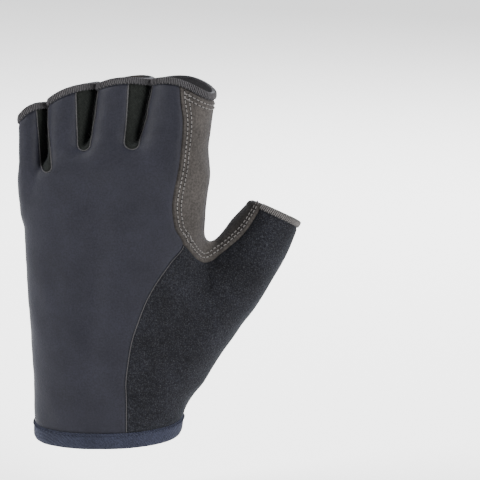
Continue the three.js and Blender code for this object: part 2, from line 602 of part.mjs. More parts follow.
// Net over the surface: one point in each cell that the surface crosses, one quad across each crossed edge.
function surfaceNet() {
  const low = -TAB_DROP - 2 * CELL_HEIGHT;
  const rows = [];
  for (let z = low; z < HAND_LENGTH + 2 * CELL_HEIGHT; ) {
    rows.push(z);
    const up = z / HAND_LENGTH;
    z += up > KNUCKLE_CELLS.from && up < KNUCKLE_CELLS.to ? KNUCKLE_CELL : CELL_HEIGHT;
  }
  const layers = [];
  const back = Math.ceil(PALM_DEPTH / CELL_DEPTH);
  const palm = Math.ceil((THUMB_OPENING.y + THUMB_WIDTH) / CELL_DEPTH);
  for (let layer = -back; layer <= palm; layer += 1) layers.push(layer * CELL_DEPTH);
  const grid = rows.map((z) => columnsAt(z));
  const slant = (y, z) => {
    const middle = fingerSection(FINGERS[1], z).middleY;
    return FINGER_SLANT * (y - middle) * smooth(z / HAND_LENGTH, FINGER_ROOT, FINGER_FOOT);
  };
  const place = (i, j, k) => {
    const reach = 1 - smooth(grid[k][i] / PALM_WIDTH, LEAN_OF_THUMB.from, LEAN_OF_THUMB.to);
    return new THREE.Vector3(grid[k][i] + slant(layers[j], rows[k]) * reach, layers[j], rows[k]);
  };
  const nx = grid[0].length;
  const ny = layers.length;
  const nz = rows.length;
  const at = (i, j, k) => (k * ny + j) * nx + i;
  const values = new Float64Array(nx * ny * nz);
  for (let k = 0; k < nz; k += 1)
    for (let j = 0; j < ny; j += 1)
      for (let i = 0; i < nx; i += 1) {
        const p = place(i, j, k);
        values[at(i, j, k)] = gloveForm(p.x, p.y, p.z);
      }
  const points = [];
  const cellPoint = new Map();
  const pointIn = (i, j, k) => {
    const id = at(i, j, k);
    if (cellPoint.has(id)) return cellPoint.get(id);
    const sum = new THREE.Vector3();
    let count = 0;
    const edge = (a, b) => {
      const va = values[at(...a)];
      const vb = values[at(...b)];
      if (va < 0 === vb < 0) return;
      sum.add(place(...a).lerp(place(...b), va / (va - vb)));
      count += 1;
    };
    for (const [p, q] of [[0, 0], [0, 1], [1, 0], [1, 1]]) {
      edge([i, j + p, k + q], [i + 1, j + p, k + q]);
      edge([i + p, j, k + q], [i + p, j + 1, k + q]);
      edge([i + p, j + q, k], [i + p, j + q, k + 1]);
    }
    const point = settle(sum.divideScalar(count), CELL_WIDTH);
    points.push(point);
    cellPoint.set(id, points.length - 1);
    return points.length - 1;
  };
  const triangles = [];
  const quad = (a, b, c, d, flip) => {
    const [p, q, r, s] = flip ? [d, c, b, a] : [a, b, c, d];
    const shortFirst = points[p].distanceTo(points[r]) < points[q].distanceTo(points[s]);
    if (shortFirst) triangles.push([p, q, r], [p, r, s]);
    else triangles.push([q, r, s], [q, s, p]);
  };
  for (let k = 1; k < nz - 1; k += 1)
    for (let j = 1; j < ny - 1; j += 1)
      for (let i = 1; i < nx - 1; i += 1) {
        const here = values[at(i, j, k)] < 0;
        if (here !== values[at(i + 1, j, k)] < 0) {
          quad(pointIn(i, j - 1, k - 1), pointIn(i, j, k - 1), pointIn(i, j, k), pointIn(i, j - 1, k), !here);
        }
        if (here !== values[at(i, j + 1, k)] < 0) {
          quad(pointIn(i - 1, j, k - 1), pointIn(i - 1, j, k), pointIn(i, j, k), pointIn(i, j, k - 1), !here);
        }
        if (here !== values[at(i, j, k + 1)] < 0) {
          quad(pointIn(i - 1, j - 1, k), pointIn(i, j - 1, k), pointIn(i, j, k), pointIn(i - 1, j, k), !here);
        }
      }
  return { points, triangles };
}

// A seam's value as a distance along the surface, with the way that the distance grows. A seam that runs almost
// along the surface counts as no flatter than this.
const STEEPEST = 0.35;
function alongSurface(seam, p) {
  const value = seam(p.x, p.y, p.z);
  const normal = slopeOf(gloveForm, p).normalize();
  const slope = slopeOf(seam, p);
  slope.addScaledVector(normal, -slope.dot(normal));
  const size = Math.max(slope.length(), STEEPEST);
  return { distance: value / size, way: slope.divideScalar(size) };
}

// Moves the net's points that lie close to a seam onto it, so that no seam leaves thin slivers.
function snapToSeams(net) {
  for (const p of net.points) {
    let best = null;
    for (const seam of Object.values(SEAMS)) {
      const here = alongSurface(seam, p);
      if (Math.abs(here.distance) < SNAP && (!best || Math.abs(here.distance) < Math.abs(best.distance))) best = here;
    }
    if (!best) continue;
    p.addScaledVector(best.way, -best.distance);
    settle(p, SNAP);
  }
}

// Gives each point of the net its distance from every seam, and its outward direction, the mean of its triangles'.
function measure(net) {
  net.distances = net.points.map((p) => Object.values(SEAMS).map((seam) => alongSurface(seam, p).distance));
  net.normals = net.points.map(() => new THREE.Vector3());
  const face = new THREE.Triangle();
  const normal = new THREE.Vector3();
  for (const tri of net.triangles) {
    face.set(...tri.map((i) => net.points[i]));
    face.getNormal(normal).multiplyScalar(face.getArea());
    for (const i of tri) net.normals[i].add(normal);
  }
  for (const n of net.normals) n.normalize();
}

// Part of the net on the positive side of a seam, or on the negative side for a sign of -1, less a margin.
function clip(net, seam, margin, sign) {
  const column = Object.keys(SEAMS).indexOf(seam);
  const reach = net.distances.map((row) => sign * row[column] - margin);
  const points = [];
  const normals = [];
  const distances = [];
  const add = (point, normal, row) => {
    points.push(point);
    normals.push(normal);
    distances.push(row);
    return points.length - 1;
  };
  const kept = new Map();
  const keep = (i) => {
    if (!kept.has(i)) kept.set(i, add(net.points[i], net.normals[i], net.distances[i]));
    return kept.get(i);
  };
  const cuts = new Map();
  const cut = (i, j) => {
    const id = i < j ? i + "_" + j : j + "_" + i;
    if (!cuts.has(id)) {
      const t = reach[i] / (reach[i] - reach[j]);
      const row = net.distances[i].map((value, n) => lerp(value, net.distances[j][n], t));
      const point = net.points[i].clone().lerp(net.points[j], t);
      cuts.set(id, add(point, net.normals[i].clone().lerp(net.normals[j], t), row));
    }
    return cuts.get(id);
  };
  const triangles = [];
  for (const tri of net.triangles) {
    const inside = tri.map((i) => reach[i] > 0);
    const count = inside.filter(Boolean).length;
    if (count === 3) triangles.push(tri.map(keep));
    if (count === 1) {
      const s = inside.indexOf(true);
      const [a, b, c] = [tri[s], tri[(s + 1) % 3], tri[(s + 2) % 3]];
      triangles.push([keep(a), cut(a, b), cut(a, c)]);
    }
    if (count === 2) {
      const s = inside.indexOf(false);
      const [a, b, c] = [tri[s], tri[(s + 1) % 3], tri[(s + 2) % 3]];
      triangles.push([cut(a, b), keep(b), keep(c)], [cut(a, b), keep(c), cut(a, c)]);
    }
  }
  return { points, normals, distances, triangles };
}

// The net with its shortest edges drawn together to one point, which leaves no slivers.
function withoutSlivers(net) {
  const target = net.points.map((_, i) => i);
  const find = (i) => {
    while (target[i] !== i) i = target[i];
    return i;
  };
  for (const tri of net.triangles) {
    for (const [a, b] of [[tri[0], tri[1]], [tri[1], tri[2]], [tri[2], tri[0]]]) {
      const [p, q] = [find(a), find(b)];
      if (p !== q && net.points[p].distanceTo(net.points[q]) < SHORTEST_EDGE) target[Math.max(p, q)] = Math.min(p, q);
    }
  }
  const joined = net.triangles.map((tri) => tri.map(find));
  return { ...net, triangles: joined.filter(([a, b, c]) => a !== b && b !== c && c !== a) };
}

// Largest part of a net whose triangles join along whole edges.
function largest(net) {
  const parent = net.triangles.map((_, i) => i);
  const find = (i) => {
    while (parent[i] !== i) {
      parent[i] = parent[parent[i]];
      i = parent[i];
    }
    return i;
  };
  const sharing = new Map();
  for (const [t, [a, b, c]] of net.triangles.entries()) {
    for (const [p, q] of [[a, b], [b, c], [c, a]]) {
      const edge = Math.min(p, q) + "_" + Math.max(p, q);
      if (sharing.has(edge)) parent[find(t)] = find(sharing.get(edge));
      else sharing.set(edge, t);
    }
  }
  const size = new Map();
  for (const t of parent.keys()) size.set(find(t), (size.get(find(t)) || 0) + 1);
  const best = [...size.entries()].sort((p, q) => q[1] - p[1])[0][0];
  return { ...net, triangles: net.triangles.filter((_, t) => find(t) === best) };
}

// Closed wall between two offsets of a net, the outer one first.
function wallOf(net, outer, inner) {
  const used = [...new Set(net.triangles.flat())];
  const place = new Map(used.map((i, n) => [i, n]));
  const shifted = (offset) => used.map((i) => net.points[i].clone().addScaledVector(net.normals[i], offset));
  const all = [...shifted(outer), ...shifted(inner)];
  const count = used.length;
  const triangles = [];
  const edges = new Map();
  for (const tri of net.triangles) {
    const [a, b, c] = tri.map((i) => place.get(i));
    triangles.push(a, b, c, count + c, count + b, count + a);
    for (const [p, q] of [[a, b], [b, c], [c, a]]) {
      if (edges.has(q + "_" + p)) edges.delete(q + "_" + p);
      else edges.set(p + "_" + q, [p, q]);
    }
  }
  for (const [p, q] of edges.values()) triangles.push(p, count + p, count + q, p, count + q, q);
  const geometry = new THREE.BufferGeometry();
  geometry.setAttribute("position", new THREE.Float32BufferAttribute(all.flatMap((p) => [p.x, p.y, p.z]), 3));
  geometry.setIndex(triangles);
  geometry.computeVertexNormals();
  return geometry;
}

// Cloths, with their colours as they show.
const CLOTH = {
  softshell: { color: 0x2b2c35, roughness: 0.75 },
  knit: { color: 0x1b1b20, roughness: 0.95 },
  suede: { color: 0x5f5a57, roughness: 0.95 },
  patch: { color: 0x6a6562, roughness: 0.95 },
  strip: { color: 0x1d1e1d, roughness: 0.9 },
  jersey: { color: 0x343848, roughness: 0.9 },
  thread: { color: 0x4a4a4c, roughness: 0.8 },
};

// Panels: the seams that bound each, with the side that it lies on, its cloth and its wall.
const OUT_OF_SLOTS = SLOTS.map((slot) => [slot.name, -1]);
const PANELS = [
  {
    name: "back_panel",
    cloth: "softshell",
    wall: SHELL_WALL,
    within: [["backSide", 1], ["thumbSide", -1], ["belowEdges", 1], ["aboveHemBand", 1], ...OUT_OF_SLOTS],
  },
  {
    name: "palm_panel",
    cloth: "suede",
    wall: SUEDE_WALL,
    within: [
      ["backSide", -1], ["thumbSide", -1], ["belowRims", 1], ["palmBesideSlit", 1], ["insideTab", 1],
      ...OUT_OF_SLOTS,
    ],
  },
  {
    name: "web_panel",
    cloth: "suede",
    wall: SUEDE_WALL,
    within: [["thumbSide", 1], ["aboveWebEdge", 1], ["belowEdges", 1], ["belowThumbRim", 1], OUT_OF_SLOTS[2]],
  },
  {
    name: "thumb_panel",
    cloth: "knit",
    wall: KNIT_WALL,
    within: [
      ["thumbSide", 1], ["aboveWebEdge", -1], ["belowThumbEdge", 1], ["aboveHemBand", 1], ["thumbBesideSlit", 1],
    ],
  },
  {
    name: "thumb_edge",
    cloth: "thread",
    wall: EDGE_WALL,
    proud: TRIM_PROUD,
    within: [["aboveWebEdge", -1], ["belowThumbRim", 1], ["belowThumbEdge", -1], ["thumbSide", 1]],
  },
  {
    name: "hem_band",
    cloth: "jersey",
    wall: HEM_WALL,
    proud: TRIM_PROUD,
    within: [["hemRound", 1], ["aboveHem", 1], ["aboveHemBand", -1]],
  },
];
for (const slot of SLOTS) {
  PANELS.push({
    name: slot.name,
    cloth: "strip",
    wall: FOURCHETTE_WALL,
    within: [[slot.name, 1], ["belowEdges", 1]],
  });
}
for (const [i, finger] of FINGERS.entries()) {
  PANELS.push({
    name: "edge_" + finger.name,
    cloth: "thread",
    wall: EDGE_WALL,
    proud: TRIM_PROUD,
    within: [["belowRims", 1], ["belowEdges", -1], ["awayFromPalm", 1]],
    only: (p) => FINGERS.indexOf(fingerAt(p.x, p.y, p.z)) === i,
  });
}
const base = surfaceNet();
snapToSeams(base);
measure(base);

const glove = new THREE.Group();
for (const panel of PANELS) {
  let net = base;
  if (panel.only) {
    const mine = base.triangles.filter((tri) => tri.every((i) => panel.only(base.points[i])));
    net = { ...base, triangles: mine };
  }
  for (const [seam, side] of panel.within) net = clip(net, seam, SEAM_GAP / 2, side);
  net = largest(withoutSlivers(net));
  const proud = panel.proud || 0;
  const material = new THREE.MeshStandardMaterial({ ...CLOTH[panel.cloth], metalness: 0 });
  const mesh = new THREE.Mesh(wallOf(net, proud, proud - panel.wall), material);
  mesh.name = panel.name;
  glove.add(mesh);
}

// The padded patch lies on the palm panel.
const patch = largest(withoutSlivers(clip(base, "insidePatch", 0, 1)));
const patchMaterial = new THREE.MeshStandardMaterial({ ...CLOTH.patch, metalness: 0 });
const patchMesh = new THREE.Mesh(wallOf(patch, SEAM_GAP + PATCH_WALL, SEAM_GAP), patchMaterial);
patchMesh.name = "palm_patch";
glove.add(patchMesh);

export default glove;
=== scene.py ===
"""Looks of a half-finger trekking glove, laid out as a Blender add-on.

Sizes are in millimetres up to the moment a mesh is made, then in metres.
+Z points up to the fingers, -Y is the back of the hand, +Y the palm, +X the thumb side.
"""

import math

import bpy
import numpy as np
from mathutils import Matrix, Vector


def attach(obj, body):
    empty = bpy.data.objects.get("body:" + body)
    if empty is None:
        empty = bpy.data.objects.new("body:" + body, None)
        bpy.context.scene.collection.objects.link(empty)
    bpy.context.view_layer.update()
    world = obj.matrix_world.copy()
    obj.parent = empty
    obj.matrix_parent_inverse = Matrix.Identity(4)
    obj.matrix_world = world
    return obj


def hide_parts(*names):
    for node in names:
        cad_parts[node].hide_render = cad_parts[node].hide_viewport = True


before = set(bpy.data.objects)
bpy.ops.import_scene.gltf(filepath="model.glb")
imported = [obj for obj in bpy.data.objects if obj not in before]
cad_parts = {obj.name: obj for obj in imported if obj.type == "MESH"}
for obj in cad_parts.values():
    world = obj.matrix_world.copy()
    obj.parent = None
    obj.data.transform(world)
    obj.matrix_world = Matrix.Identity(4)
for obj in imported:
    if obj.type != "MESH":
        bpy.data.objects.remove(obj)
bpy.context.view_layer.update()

bl_info = {
    "name": "Trekking glove",
    "version": (1, 0, 0),
    "blender": (4, 5, 0),
    "location": "View3D > Sidebar > Glove",
    "description": "Builds the cloth panels, seams and stitches of a half-finger trekking glove",
    "category": "Add Mesh",
}

# Overall sizes of the worn glove.
HAND_LENGTH = 160.0
PALM_WIDTH = 84.0
PALM_DEPTH = 34.0
FINGER_DEPTH = 20.0
KNUCKLE_HEIGHT = 131.0
FINGER_GAP = 0.7
THUMB_LENGTH = 95.0
THUMB_WIDTH = 23.0
THUMB_SPREAD = math.radians(31)
THUMB_LEAN = math.radians(19)

# Walls, seams and trims.
SHELL_WALL = 1.1
KNIT_WALL = 1.2
SUEDE_WALL = 1.3
FOURCHETTE_WALL = 1.0
EDGE_WALL = 1.7
HEM_WALL = 1.8
TRIM_PROUD = 0.3
PATCH_WALL = 2.4
PATCH_LIFT = 0.3
EDGE_HEIGHT = 3.0
HEM_HEIGHT = 6.8
HEM_RISE = 5.0
HEM_TILT = 2.4
TAB_DROP = 6.5
TAB_WIDTH = 26.0
TAB_CORNER = 8.0
TAB_TOP = 21.0
TAB_FLARE = 8.0
TAB_TAPER = 2.0
SLIT_HEIGHT = 34.0
SLIT_WIDTH = 12.4
SLIT_BOW = 3.0
SIDE_SEAM = 3.0
SIDE_BLEND = 5.0

# Softness of the joins between the forms.
FINGER_BLEND = 7.0
THUMB_BLEND = 17.5
WRIST_BLEND = 6.0
CROTCH_RADIUS = 7.0
CROTCH_FOLD = 0.9
BLEND_RISE = (0.15, 0.5)

# The net. GAP_CELL is how far the columns beside the middle of a gap between fingers stand from it. Between
# the heights of COLUMNS_EVEN, shares of HAND_LENGTH, even columns turn into ones that follow the fingers. Its
# layers reach to the back and the palm by LAYERS_REACH, shares of PALM_DEPTH.
GAP_CELL = 0.8
COLUMNS_EVEN = (0.35, 0.76)
LAYERS_REACH = (0.7, 1.25)
LAYER_SHIFT = 0.1

# Settling the net on the form: the step that slopes are measured over, the least slopes that count, and the
# number of rounds. Edges shorter than SHORTEST_EDGE are closed up.
SLOPE_STEP = 0.05
LEAST_SLOPE = 0.05
LEAST_SEAM_SLOPE = 0.35
SETTLE_STEPS = 4
SHORTEST_EDGE = 0.03
TINY = 1e-6

# Extra lines of a panel's net beside its borders, and how wide the sunk seam and the puffed rim are.
BORDER_RINGS = (0.35, 1.0)
SEAM_WIDTH = 0.7
PUFF_WIDTH = 2.5

# Double stitching of the web panel and of the patch: each row's way from the seam, and the patch's height
# there.
WEB_ROWS = (2.2, 4.0)
PATCH_ROWS = ((1.5, 1.2), (3.4, 1.75))
TAB_STITCH_INSET = 1.5
TAB_STITCH_PITCH = 2.1

# Perforations of the palm: the slant of their rows, the rows and the steps along each, their least way from
# the panel's border and from the patch, and how far a place has to face the palm's side.
HOLE_SLANT = math.radians(11)
HOLE_ROWS = (-2, 32)
HOLE_STEPS = (-12, 12)
HOLE_INSET = 2.2
HOLE_TO_PATCH = 1.5
LEAST_FACING = 0.25

# Folds: how softly they end, as a share of their half width, how much and how often their depth varies along
# them, and the depth of the fine ripple over the whole cloth.
FOLD_END = 1.5
FOLD_WAVE = 0.25
FOLD_WAVES = 7
RIPPLE_DEPTH = 0.13
FINE_RIPPLE = 0.6

# A stitch as a share of its pitch, and the overlock loops: their thread's radius, the line that they fold over,
# measured from the rim, and their height.
STITCH_SHARE = 0.72
LOOP_RADIUS = 0.26
LOOP_RIM = 0.4
LOOP_HEIGHT = 2.6

# A cloth's large patches of tone, as a share of its fine ones.
LARGE_TONE = 0.6

# The lines of the back are drawn as seen from slightly above and slightly to the thumb side.
VIEW_TURN = math.radians(8)
VIEW_RISE = math.radians(12)

# Hand body: height as a share of HAND_LENGTH, reach to either side as shares of PALM_WIDTH, reach to the back
# and the palm as shares of PALM_DEPTH, and how square the section is.
BODY_SECTIONS = [
    dict(up=-0.12, little=0.375, thumb=0.363, back=0.59, palm=0.62, square=2.2),
    dict(up=0.0, little=0.382, thumb=0.368, back=0.6, palm=0.63, square=2.2),
    dict(up=0.125, little=0.382, thumb=0.39, back=0.6, palm=0.68, square=2.2),
    dict(up=0.25, little=0.392, thumb=0.42, back=0.59, palm=0.68, square=2.3),
    dict(up=0.375, little=0.408, thumb=0.45, back=0.56, palm=0.61, square=2.4),
    dict(up=0.5, little=0.422, thumb=0.46, back=0.53, palm=0.52, square=2.5),
    dict(up=0.625, little=0.43, thumb=0.487, back=0.5, palm=0.47, square=2.6),
    dict(up=0.75, little=0.444, thumb=0.512, back=0.46, palm=0.45, square=2.6),
    dict(up=0.85, little=0.45, thumb=0.515, back=0.4, palm=0.44, square=2.6),
]

# Top of the hand body across the knuckles.
BODY_TOP = [
    dict(across=-0.48, up=0.88),
    dict(across=-0.3, up=0.925),
    dict(across=-0.1, up=0.985),
    dict(across=0.15, up=1.0),
    dict(across=0.36, up=0.985),
    dict(across=0.52, up=0.93),
]

# Finger sleeves: sides at the knuckles and at the opening, middles and half depths, and the opening's height.
FINGERS = [
    dict(name="little", foot=(-0.449, -0.298), rim=(-0.464, -0.31), middle=(0.06, 0.28), depth=(0.58, 0.42),
         high=(0.875, 0.91, 0.92)),
    dict(name="ring", foot=(-0.298, -0.094), rim=(-0.31, -0.055), middle=(0.0, 0.24), depth=(0.72, 0.47),
         high=(0.925, 0.962, 0.976)),
    dict(name="middle", foot=(-0.094, 0.15), rim=(-0.055, 0.221), middle=(-0.02, 0.22), depth=(0.75, 0.5),
         high=(0.972, 0.994, 0.99)),
    dict(name="index", foot=(0.15, 0.5), rim=(0.221, 0.548), middle=(-0.02, 0.2), depth=(0.75, 0.5),
         high=(0.99, 0.995, 0.956)),
]
FINGER_FOOT = 0.76
FINGER_RIM = 0.97
FINGER_ROOT = 0.6
ROOT_SINK = 0.4
FINGER_SQUARE = 2.4
FINGER_SLANT = 0.2
FINGER_HOLD = 1.2
RIM_SLOPE = 0.13
LEAN_OF_FINGERS = (0.66, 0.84)
LEAN_OF_THUMB = (0.42, 0.62)
THUMB_FOOT = dict(up=0.2, depth=0.08)

THUMB_SECTIONS = [
    dict(along=0.0, width=0.54, depth=0.6, lift=0.36),
    dict(along=0.21, width=0.53, depth=0.68, lift=0.3),
    dict(along=0.42, width=0.56, depth=0.7, lift=0.2),
    dict(along=0.63, width=0.62, depth=0.64, lift=0.08),
    dict(along=0.84, width=0.6, depth=0.56, lift=0.02),
    dict(along=1.0, width=0.48, depth=0.46, lift=0.0),
]
THUMB_RIM = dict(across=0.834, depth=0.61, up=0.617)
THUMB_RIM_SKEW = -0.13
THUMB_GAP = 0.62

# Edge of the back panel on the thumb side, lower edge of the web panel, and the palm panel's seam.
BACK_EDGE = [
    dict(up=0.0, across=0.09), dict(up=0.1, across=0.091), dict(up=0.145, across=0.088),
    dict(up=0.205, across=0.1), dict(up=0.26, across=0.118), dict(up=0.317, across=0.153),
    dict(up=0.371, across=0.194), dict(up=0.42, across=0.245), dict(up=0.475, across=0.319),
    dict(up=0.524, across=0.386), dict(up=0.572, across=0.342), dict(up=0.626, across=0.33),
    dict(up=0.644, across=0.333), dict(up=0.747, across=0.369), dict(up=0.85, across=0.384),
    dict(up=0.914, across=0.37), dict(up=1.0, across=0.36),
]
WEB_EDGE = [
    dict(across=0.2, up=0.56), dict(across=0.386, up=0.524), dict(across=0.464, up=0.484),
    dict(across=0.497, up=0.477), dict(across=0.6, up=0.511), dict(across=0.7, up=0.559),
    dict(across=0.79, up=0.632), dict(across=0.9, up=0.74),
]
PALM_EDGE = [
    dict(up=0.21, across=0.12), dict(up=0.24, across=0.147), dict(up=0.28, across=0.179),
    dict(up=0.37, across=0.215), dict(up=0.47, across=0.262), dict(up=0.53, across=0.304),
    dict(up=0.58, across=0.322), dict(up=0.64, across=0.32), dict(up=0.72, across=0.316),
    dict(up=0.85, across=0.31), dict(up=1.0, across=0.298),
]

# Slots between the fingers: middle, half width and height of the round end, halfway and at the opening, on
# the back, and of the end and the opening on the palm.
SLOTS = [
    dict(name="fourchette_little_ring",
         back=((-0.314, 0.024, 0.733), (-0.327, 0.024, 0.82), (-0.34, 0.024, 0.894)),
         palm=((-0.312, 0.028, 0.775), (-0.322, 0.03, 0.9))),
    dict(name="fourchette_ring_middle",
         back=((-0.121, 0.03, 0.794), (-0.111, 0.045, 0.87), (-0.106, 0.055, 0.95)),
         palm=((-0.09, 0.03, 0.815), (-0.06, 0.042, 0.96))),
    dict(name="fourchette_middle_index",
         back=((0.124, 0.035, 0.8), (0.15, 0.05, 0.869), (0.164, 0.054, 0.956)),
         palm=((0.152, 0.028, 0.815), (0.2, 0.038, 0.97))),
]
SLOT_DEEPEN = 7.0

# Padded patch: straight sides through a point, and the direction that points out of the patch, in degrees.
PATCH_SIDES = [
    dict(across=-0.1, up=0.472, out=105),
    dict(across=0.09, up=0.42, out=-13),
    dict(across=0.07, up=0.345, out=-55),
    dict(across=-0.16, up=0.262, out=-67),
]
PATCH_CORNER = 3.0
PATCH_INSET = 4.0

# Folds, valleys and dents of the worn cloth, as seen from the back: a line from one place to another, its
# depth and its half width.
BACK_DENTS = [
    dict(start=(-4.5, 106), end=(-9.5, 20), deep=1.9, wide=6.5),
    dict(start=(-21, 112), end=(-22, 60), deep=0.35, wide=4.5),
    dict(start=(20, 112), end=(15, 62), deep=0.4, wide=5.0),
    dict(start=(42.6, 75), end=(43.6, 65), deep=0.7, wide=1.1),
    dict(start=(46.5, 85), end=(40.5, 79), deep=0.5, wide=0.9),
    dict(start=(48.5, 83.5), end=(45, 76.5), deep=0.5, wide=0.9),
    dict(start=(51, 85), end=(50.5, 78.5), deep=0.4, wide=0.9),
    dict(start=(62, 78), end=(47, 52), deep=0.45, wide=4.0),
    dict(start=(56, 56), end=(40, 28), deep=0.4, wide=3.5),
    dict(start=(-27, 122), end=(-33, 108), deep=0.4, wide=2.2),
    dict(start=(2, 128), end=(24, 122), deep=0.25, wide=3.0),
    dict(start=(30, 16), end=(14, 12), deep=0.3, wide=2.0),
]
PALM_DENTS = [
    dict(start=(-27, 106), end=(14, 127), deep=1.2, wide=2.2),
    dict(start=(-20, 92), end=(16, 104), deep=0.5, wide=3.0),
    dict(start=(20, 100), end=(8, 60), deep=0.7, wide=4.0),
    dict(start=(-30, 120), end=(-22, 128), deep=0.4, wide=2.0),
    dict(start=(45, 78), end=(30, 60), deep=0.5, wide=2.5),
    dict(start=(-2, 30), end=(-14, 18), deep=0.4, wide=2.5),
]


def smooth(x, start, end):
    """Smooth step from 0 at one value to 1 at another."""
    t = np.clip((x - start) / (end - start), 0, 1)
    return t * t * (3 - 2 * t)


def lerp(a, b, t):
    return a + (b - a) * t


def along(table, key, column, at):
    """A table's column as a smooth line: cubic between rows, with no overshoot at a row that is a peak."""
    keys = np.array([row[key] for row in table])
    values = np.array([row[column] for row in table])
    spans = np.diff(keys)
    slopes = np.diff(values) / spans
    tangents = np.empty(len(keys))
    tangents[0] = slopes[0]
    tangents[-1] = slopes[-1]
    before, after = slopes[:-1], slopes[1:]
    total = np.where(before + after == 0, 1, before + after)
    tangents[1:-1] = np.where(before * after <= 0, 0, 2 * before * after / total)
    i = np.clip(np.searchsorted(keys, at) - 1, 0, len(keys) - 2)
    span = spans[i]
    t = np.clip((at - keys[i]) / span, 0, 1)
    t2 = t * t
    t3 = t2 * t
    start = (2 * t3 - 3 * t2 + 1) * values[i] + (t3 - 2 * t2 + t) * span * tangents[i]
    return start + (3 * t2 - 2 * t3) * values[i + 1] + (t3 - t2) * span * tangents[i + 1]


def soft_min(a, b, size):
    h = np.maximum(size - np.abs(a - b), 0) / size
    return np.minimum(a, b) - h * h * size / 4


def soft_max(a, b, size):
    return -soft_min(-a, -b, size)


def outside(dx, dy, half_width, half_depth, square):
    """Distance of a point outside a rounded oblong section, measured outwards from its middle."""
    ratio = (np.abs(dx / half_width) ** square + np.abs(dy / half_depth) ** square) ** (1 / square)
    reach = np.hypot(dx, dy)
    near = ratio < 0.05
    return np.where(near, -np.minimum(half_width, half_depth), reach * (1 - 1 / np.where(near, 1, ratio)))


def hand_body(x, y, z):
    up = z / HAND_LENGTH
    little = along(BODY_SECTIONS, "up", "little", up)
    thumb = along(BODY_SECTIONS, "up", "thumb", up)
    back = along(BODY_SECTIONS, "up", "back", up)
    palm = along(BODY_SECTIONS, "up", "palm", up)
    square = along(BODY_SECTIONS, "up", "square", up)
    half_width = np.where(x < 0, little, thumb) * PALM_WIDTH
    half_depth = np.where(y < 0, back, palm) * PALM_DEPTH
    top = along(BODY_TOP, "across", "up", x / PALM_WIDTH) * KNUCKLE_HEIGHT
    return soft_max(outside(x, y, half_width, half_depth, square), z - top, CROTCH_RADIUS)


def finger_section(finger, z):
    """Middle and half width, middle and half depth of a finger sleeve at a height."""
    share = (z / HAND_LENGTH - FINGER_FOOT) / (FINGER_RIM - FINGER_FOOT)
    left = lerp(finger["foot"][0], finger["rim"][0], share) * PALM_WIDTH + FINGER_GAP / 2
    right = lerp(finger["foot"][1], finger["rim"][1], share) * PALM_WIDTH - FINGER_GAP / 2
    held = np.clip(share, 0, FINGER_HOLD)
    sunk = 1 - ROOT_SINK * smooth(z / HAND_LENGTH, FINGER_FOOT, FINGER_ROOT)
    middle_y = lerp(*finger["middle"], held) * FINGER_DEPTH
    half_depth = lerp(*finger["depth"], held) * FINGER_DEPTH * sunk
    return (left + right) / 2, (right - left) / 2, middle_y, half_depth


def finger_sleeve(finger, x, y, z):
    middle_x, half_width, middle_y, half_depth = finger_section(finger, z)
    deep = y - middle_y
    tube = outside(x - middle_x - FINGER_SLANT * deep, deep, half_width, half_depth, FINGER_SQUARE)
    return soft_max(tube, FINGER_ROOT * HAND_LENGTH - z, FINGER_BLEND)


def unit(v):
    return v / np.linalg.norm(v)


THUMB_ALONG = unit(np.array([math.tan(THUMB_SPREAD), math.tan(THUMB_LEAN), 1.0]))
THUMB_ACROSS = np.array([1.0, 0.0, -math.tan(THUMB_SPREAD)])
THUMB_ACROSS = unit(THUMB_ACROSS - THUMB_ALONG * THUMB_ACROSS.dot(THUMB_ALONG))
THUMB_PALMWARD = np.cross(THUMB_ALONG, THUMB_ACROSS)
THUMB_PALMWARD = THUMB_PALMWARD * np.sign(THUMB_PALMWARD[1])
THUMB_OPENING = np.array(
    [THUMB_RIM["across"] * PALM_WIDTH, THUMB_RIM["depth"] * PALM_DEPTH, THUMB_RIM["up"] * HAND_LENGTH]
)


def thumb_place(x, y, z):
    """A point in the thumb sleeve's own directions: along it, across it and towards the palm."""
    away = [x - THUMB_OPENING[0], y - THUMB_OPENING[1], z - THUMB_OPENING[2]]
    parts = [sum(away[i] * way[i] for i in range(3)) for way in (THUMB_ALONG, THUMB_ACROSS, THUMB_PALMWARD)]
    return parts


def thumb_sleeve(x, y, z):
    distance, across, palmward = thumb_place(x, y, z)
    share = 1 + distance / THUMB_LENGTH
    lift = along(THUMB_SECTIONS, "along", "lift", share) * THUMB_WIDTH
    half_width = along(THUMB_SECTIONS, "along", "width", share) * THUMB_WIDTH
    half_depth = along(THUMB_SECTIONS, "along", "depth", share) * THUMB_WIDTH
    tube = outside(across, palmward - lift, half_width, half_depth, 2)
    return soft_max(tube, -THUMB_LENGTH - distance, THUMB_BLEND)


def glove_form(x, y, z):
    """The whole outer surface: negative inside the glove."""
    blend = lerp(WRIST_BLEND, THUMB_BLEND, smooth(z / HAND_LENGTH, *BLEND_RISE))
    hand = soft_min(hand_body(x, y, z), thumb_sleeve(x, y, z), blend)
    form = hand
    for finger in FINGERS:
        form = soft_min(form, soft_min(hand, finger_sleeve(finger, x, y, z), FINGER_BLEND), CROTCH_FOLD)
    return form


def finger_index(x, y, z):
    """Which finger a point belongs to, from 0 for the little finger."""
    which = np.zeros(np.broadcast(x, y, z).shape, int)
    for i, finger in enumerate(FINGERS[:-1]):
        middle_x, half_width, middle_y, _ = finger_section(finger, z)
        past = x - FINGER_SLANT * (y - middle_y) >= middle_x + half_width + FINGER_GAP / 2
        which = np.where(past, i + 1, which)
    return which


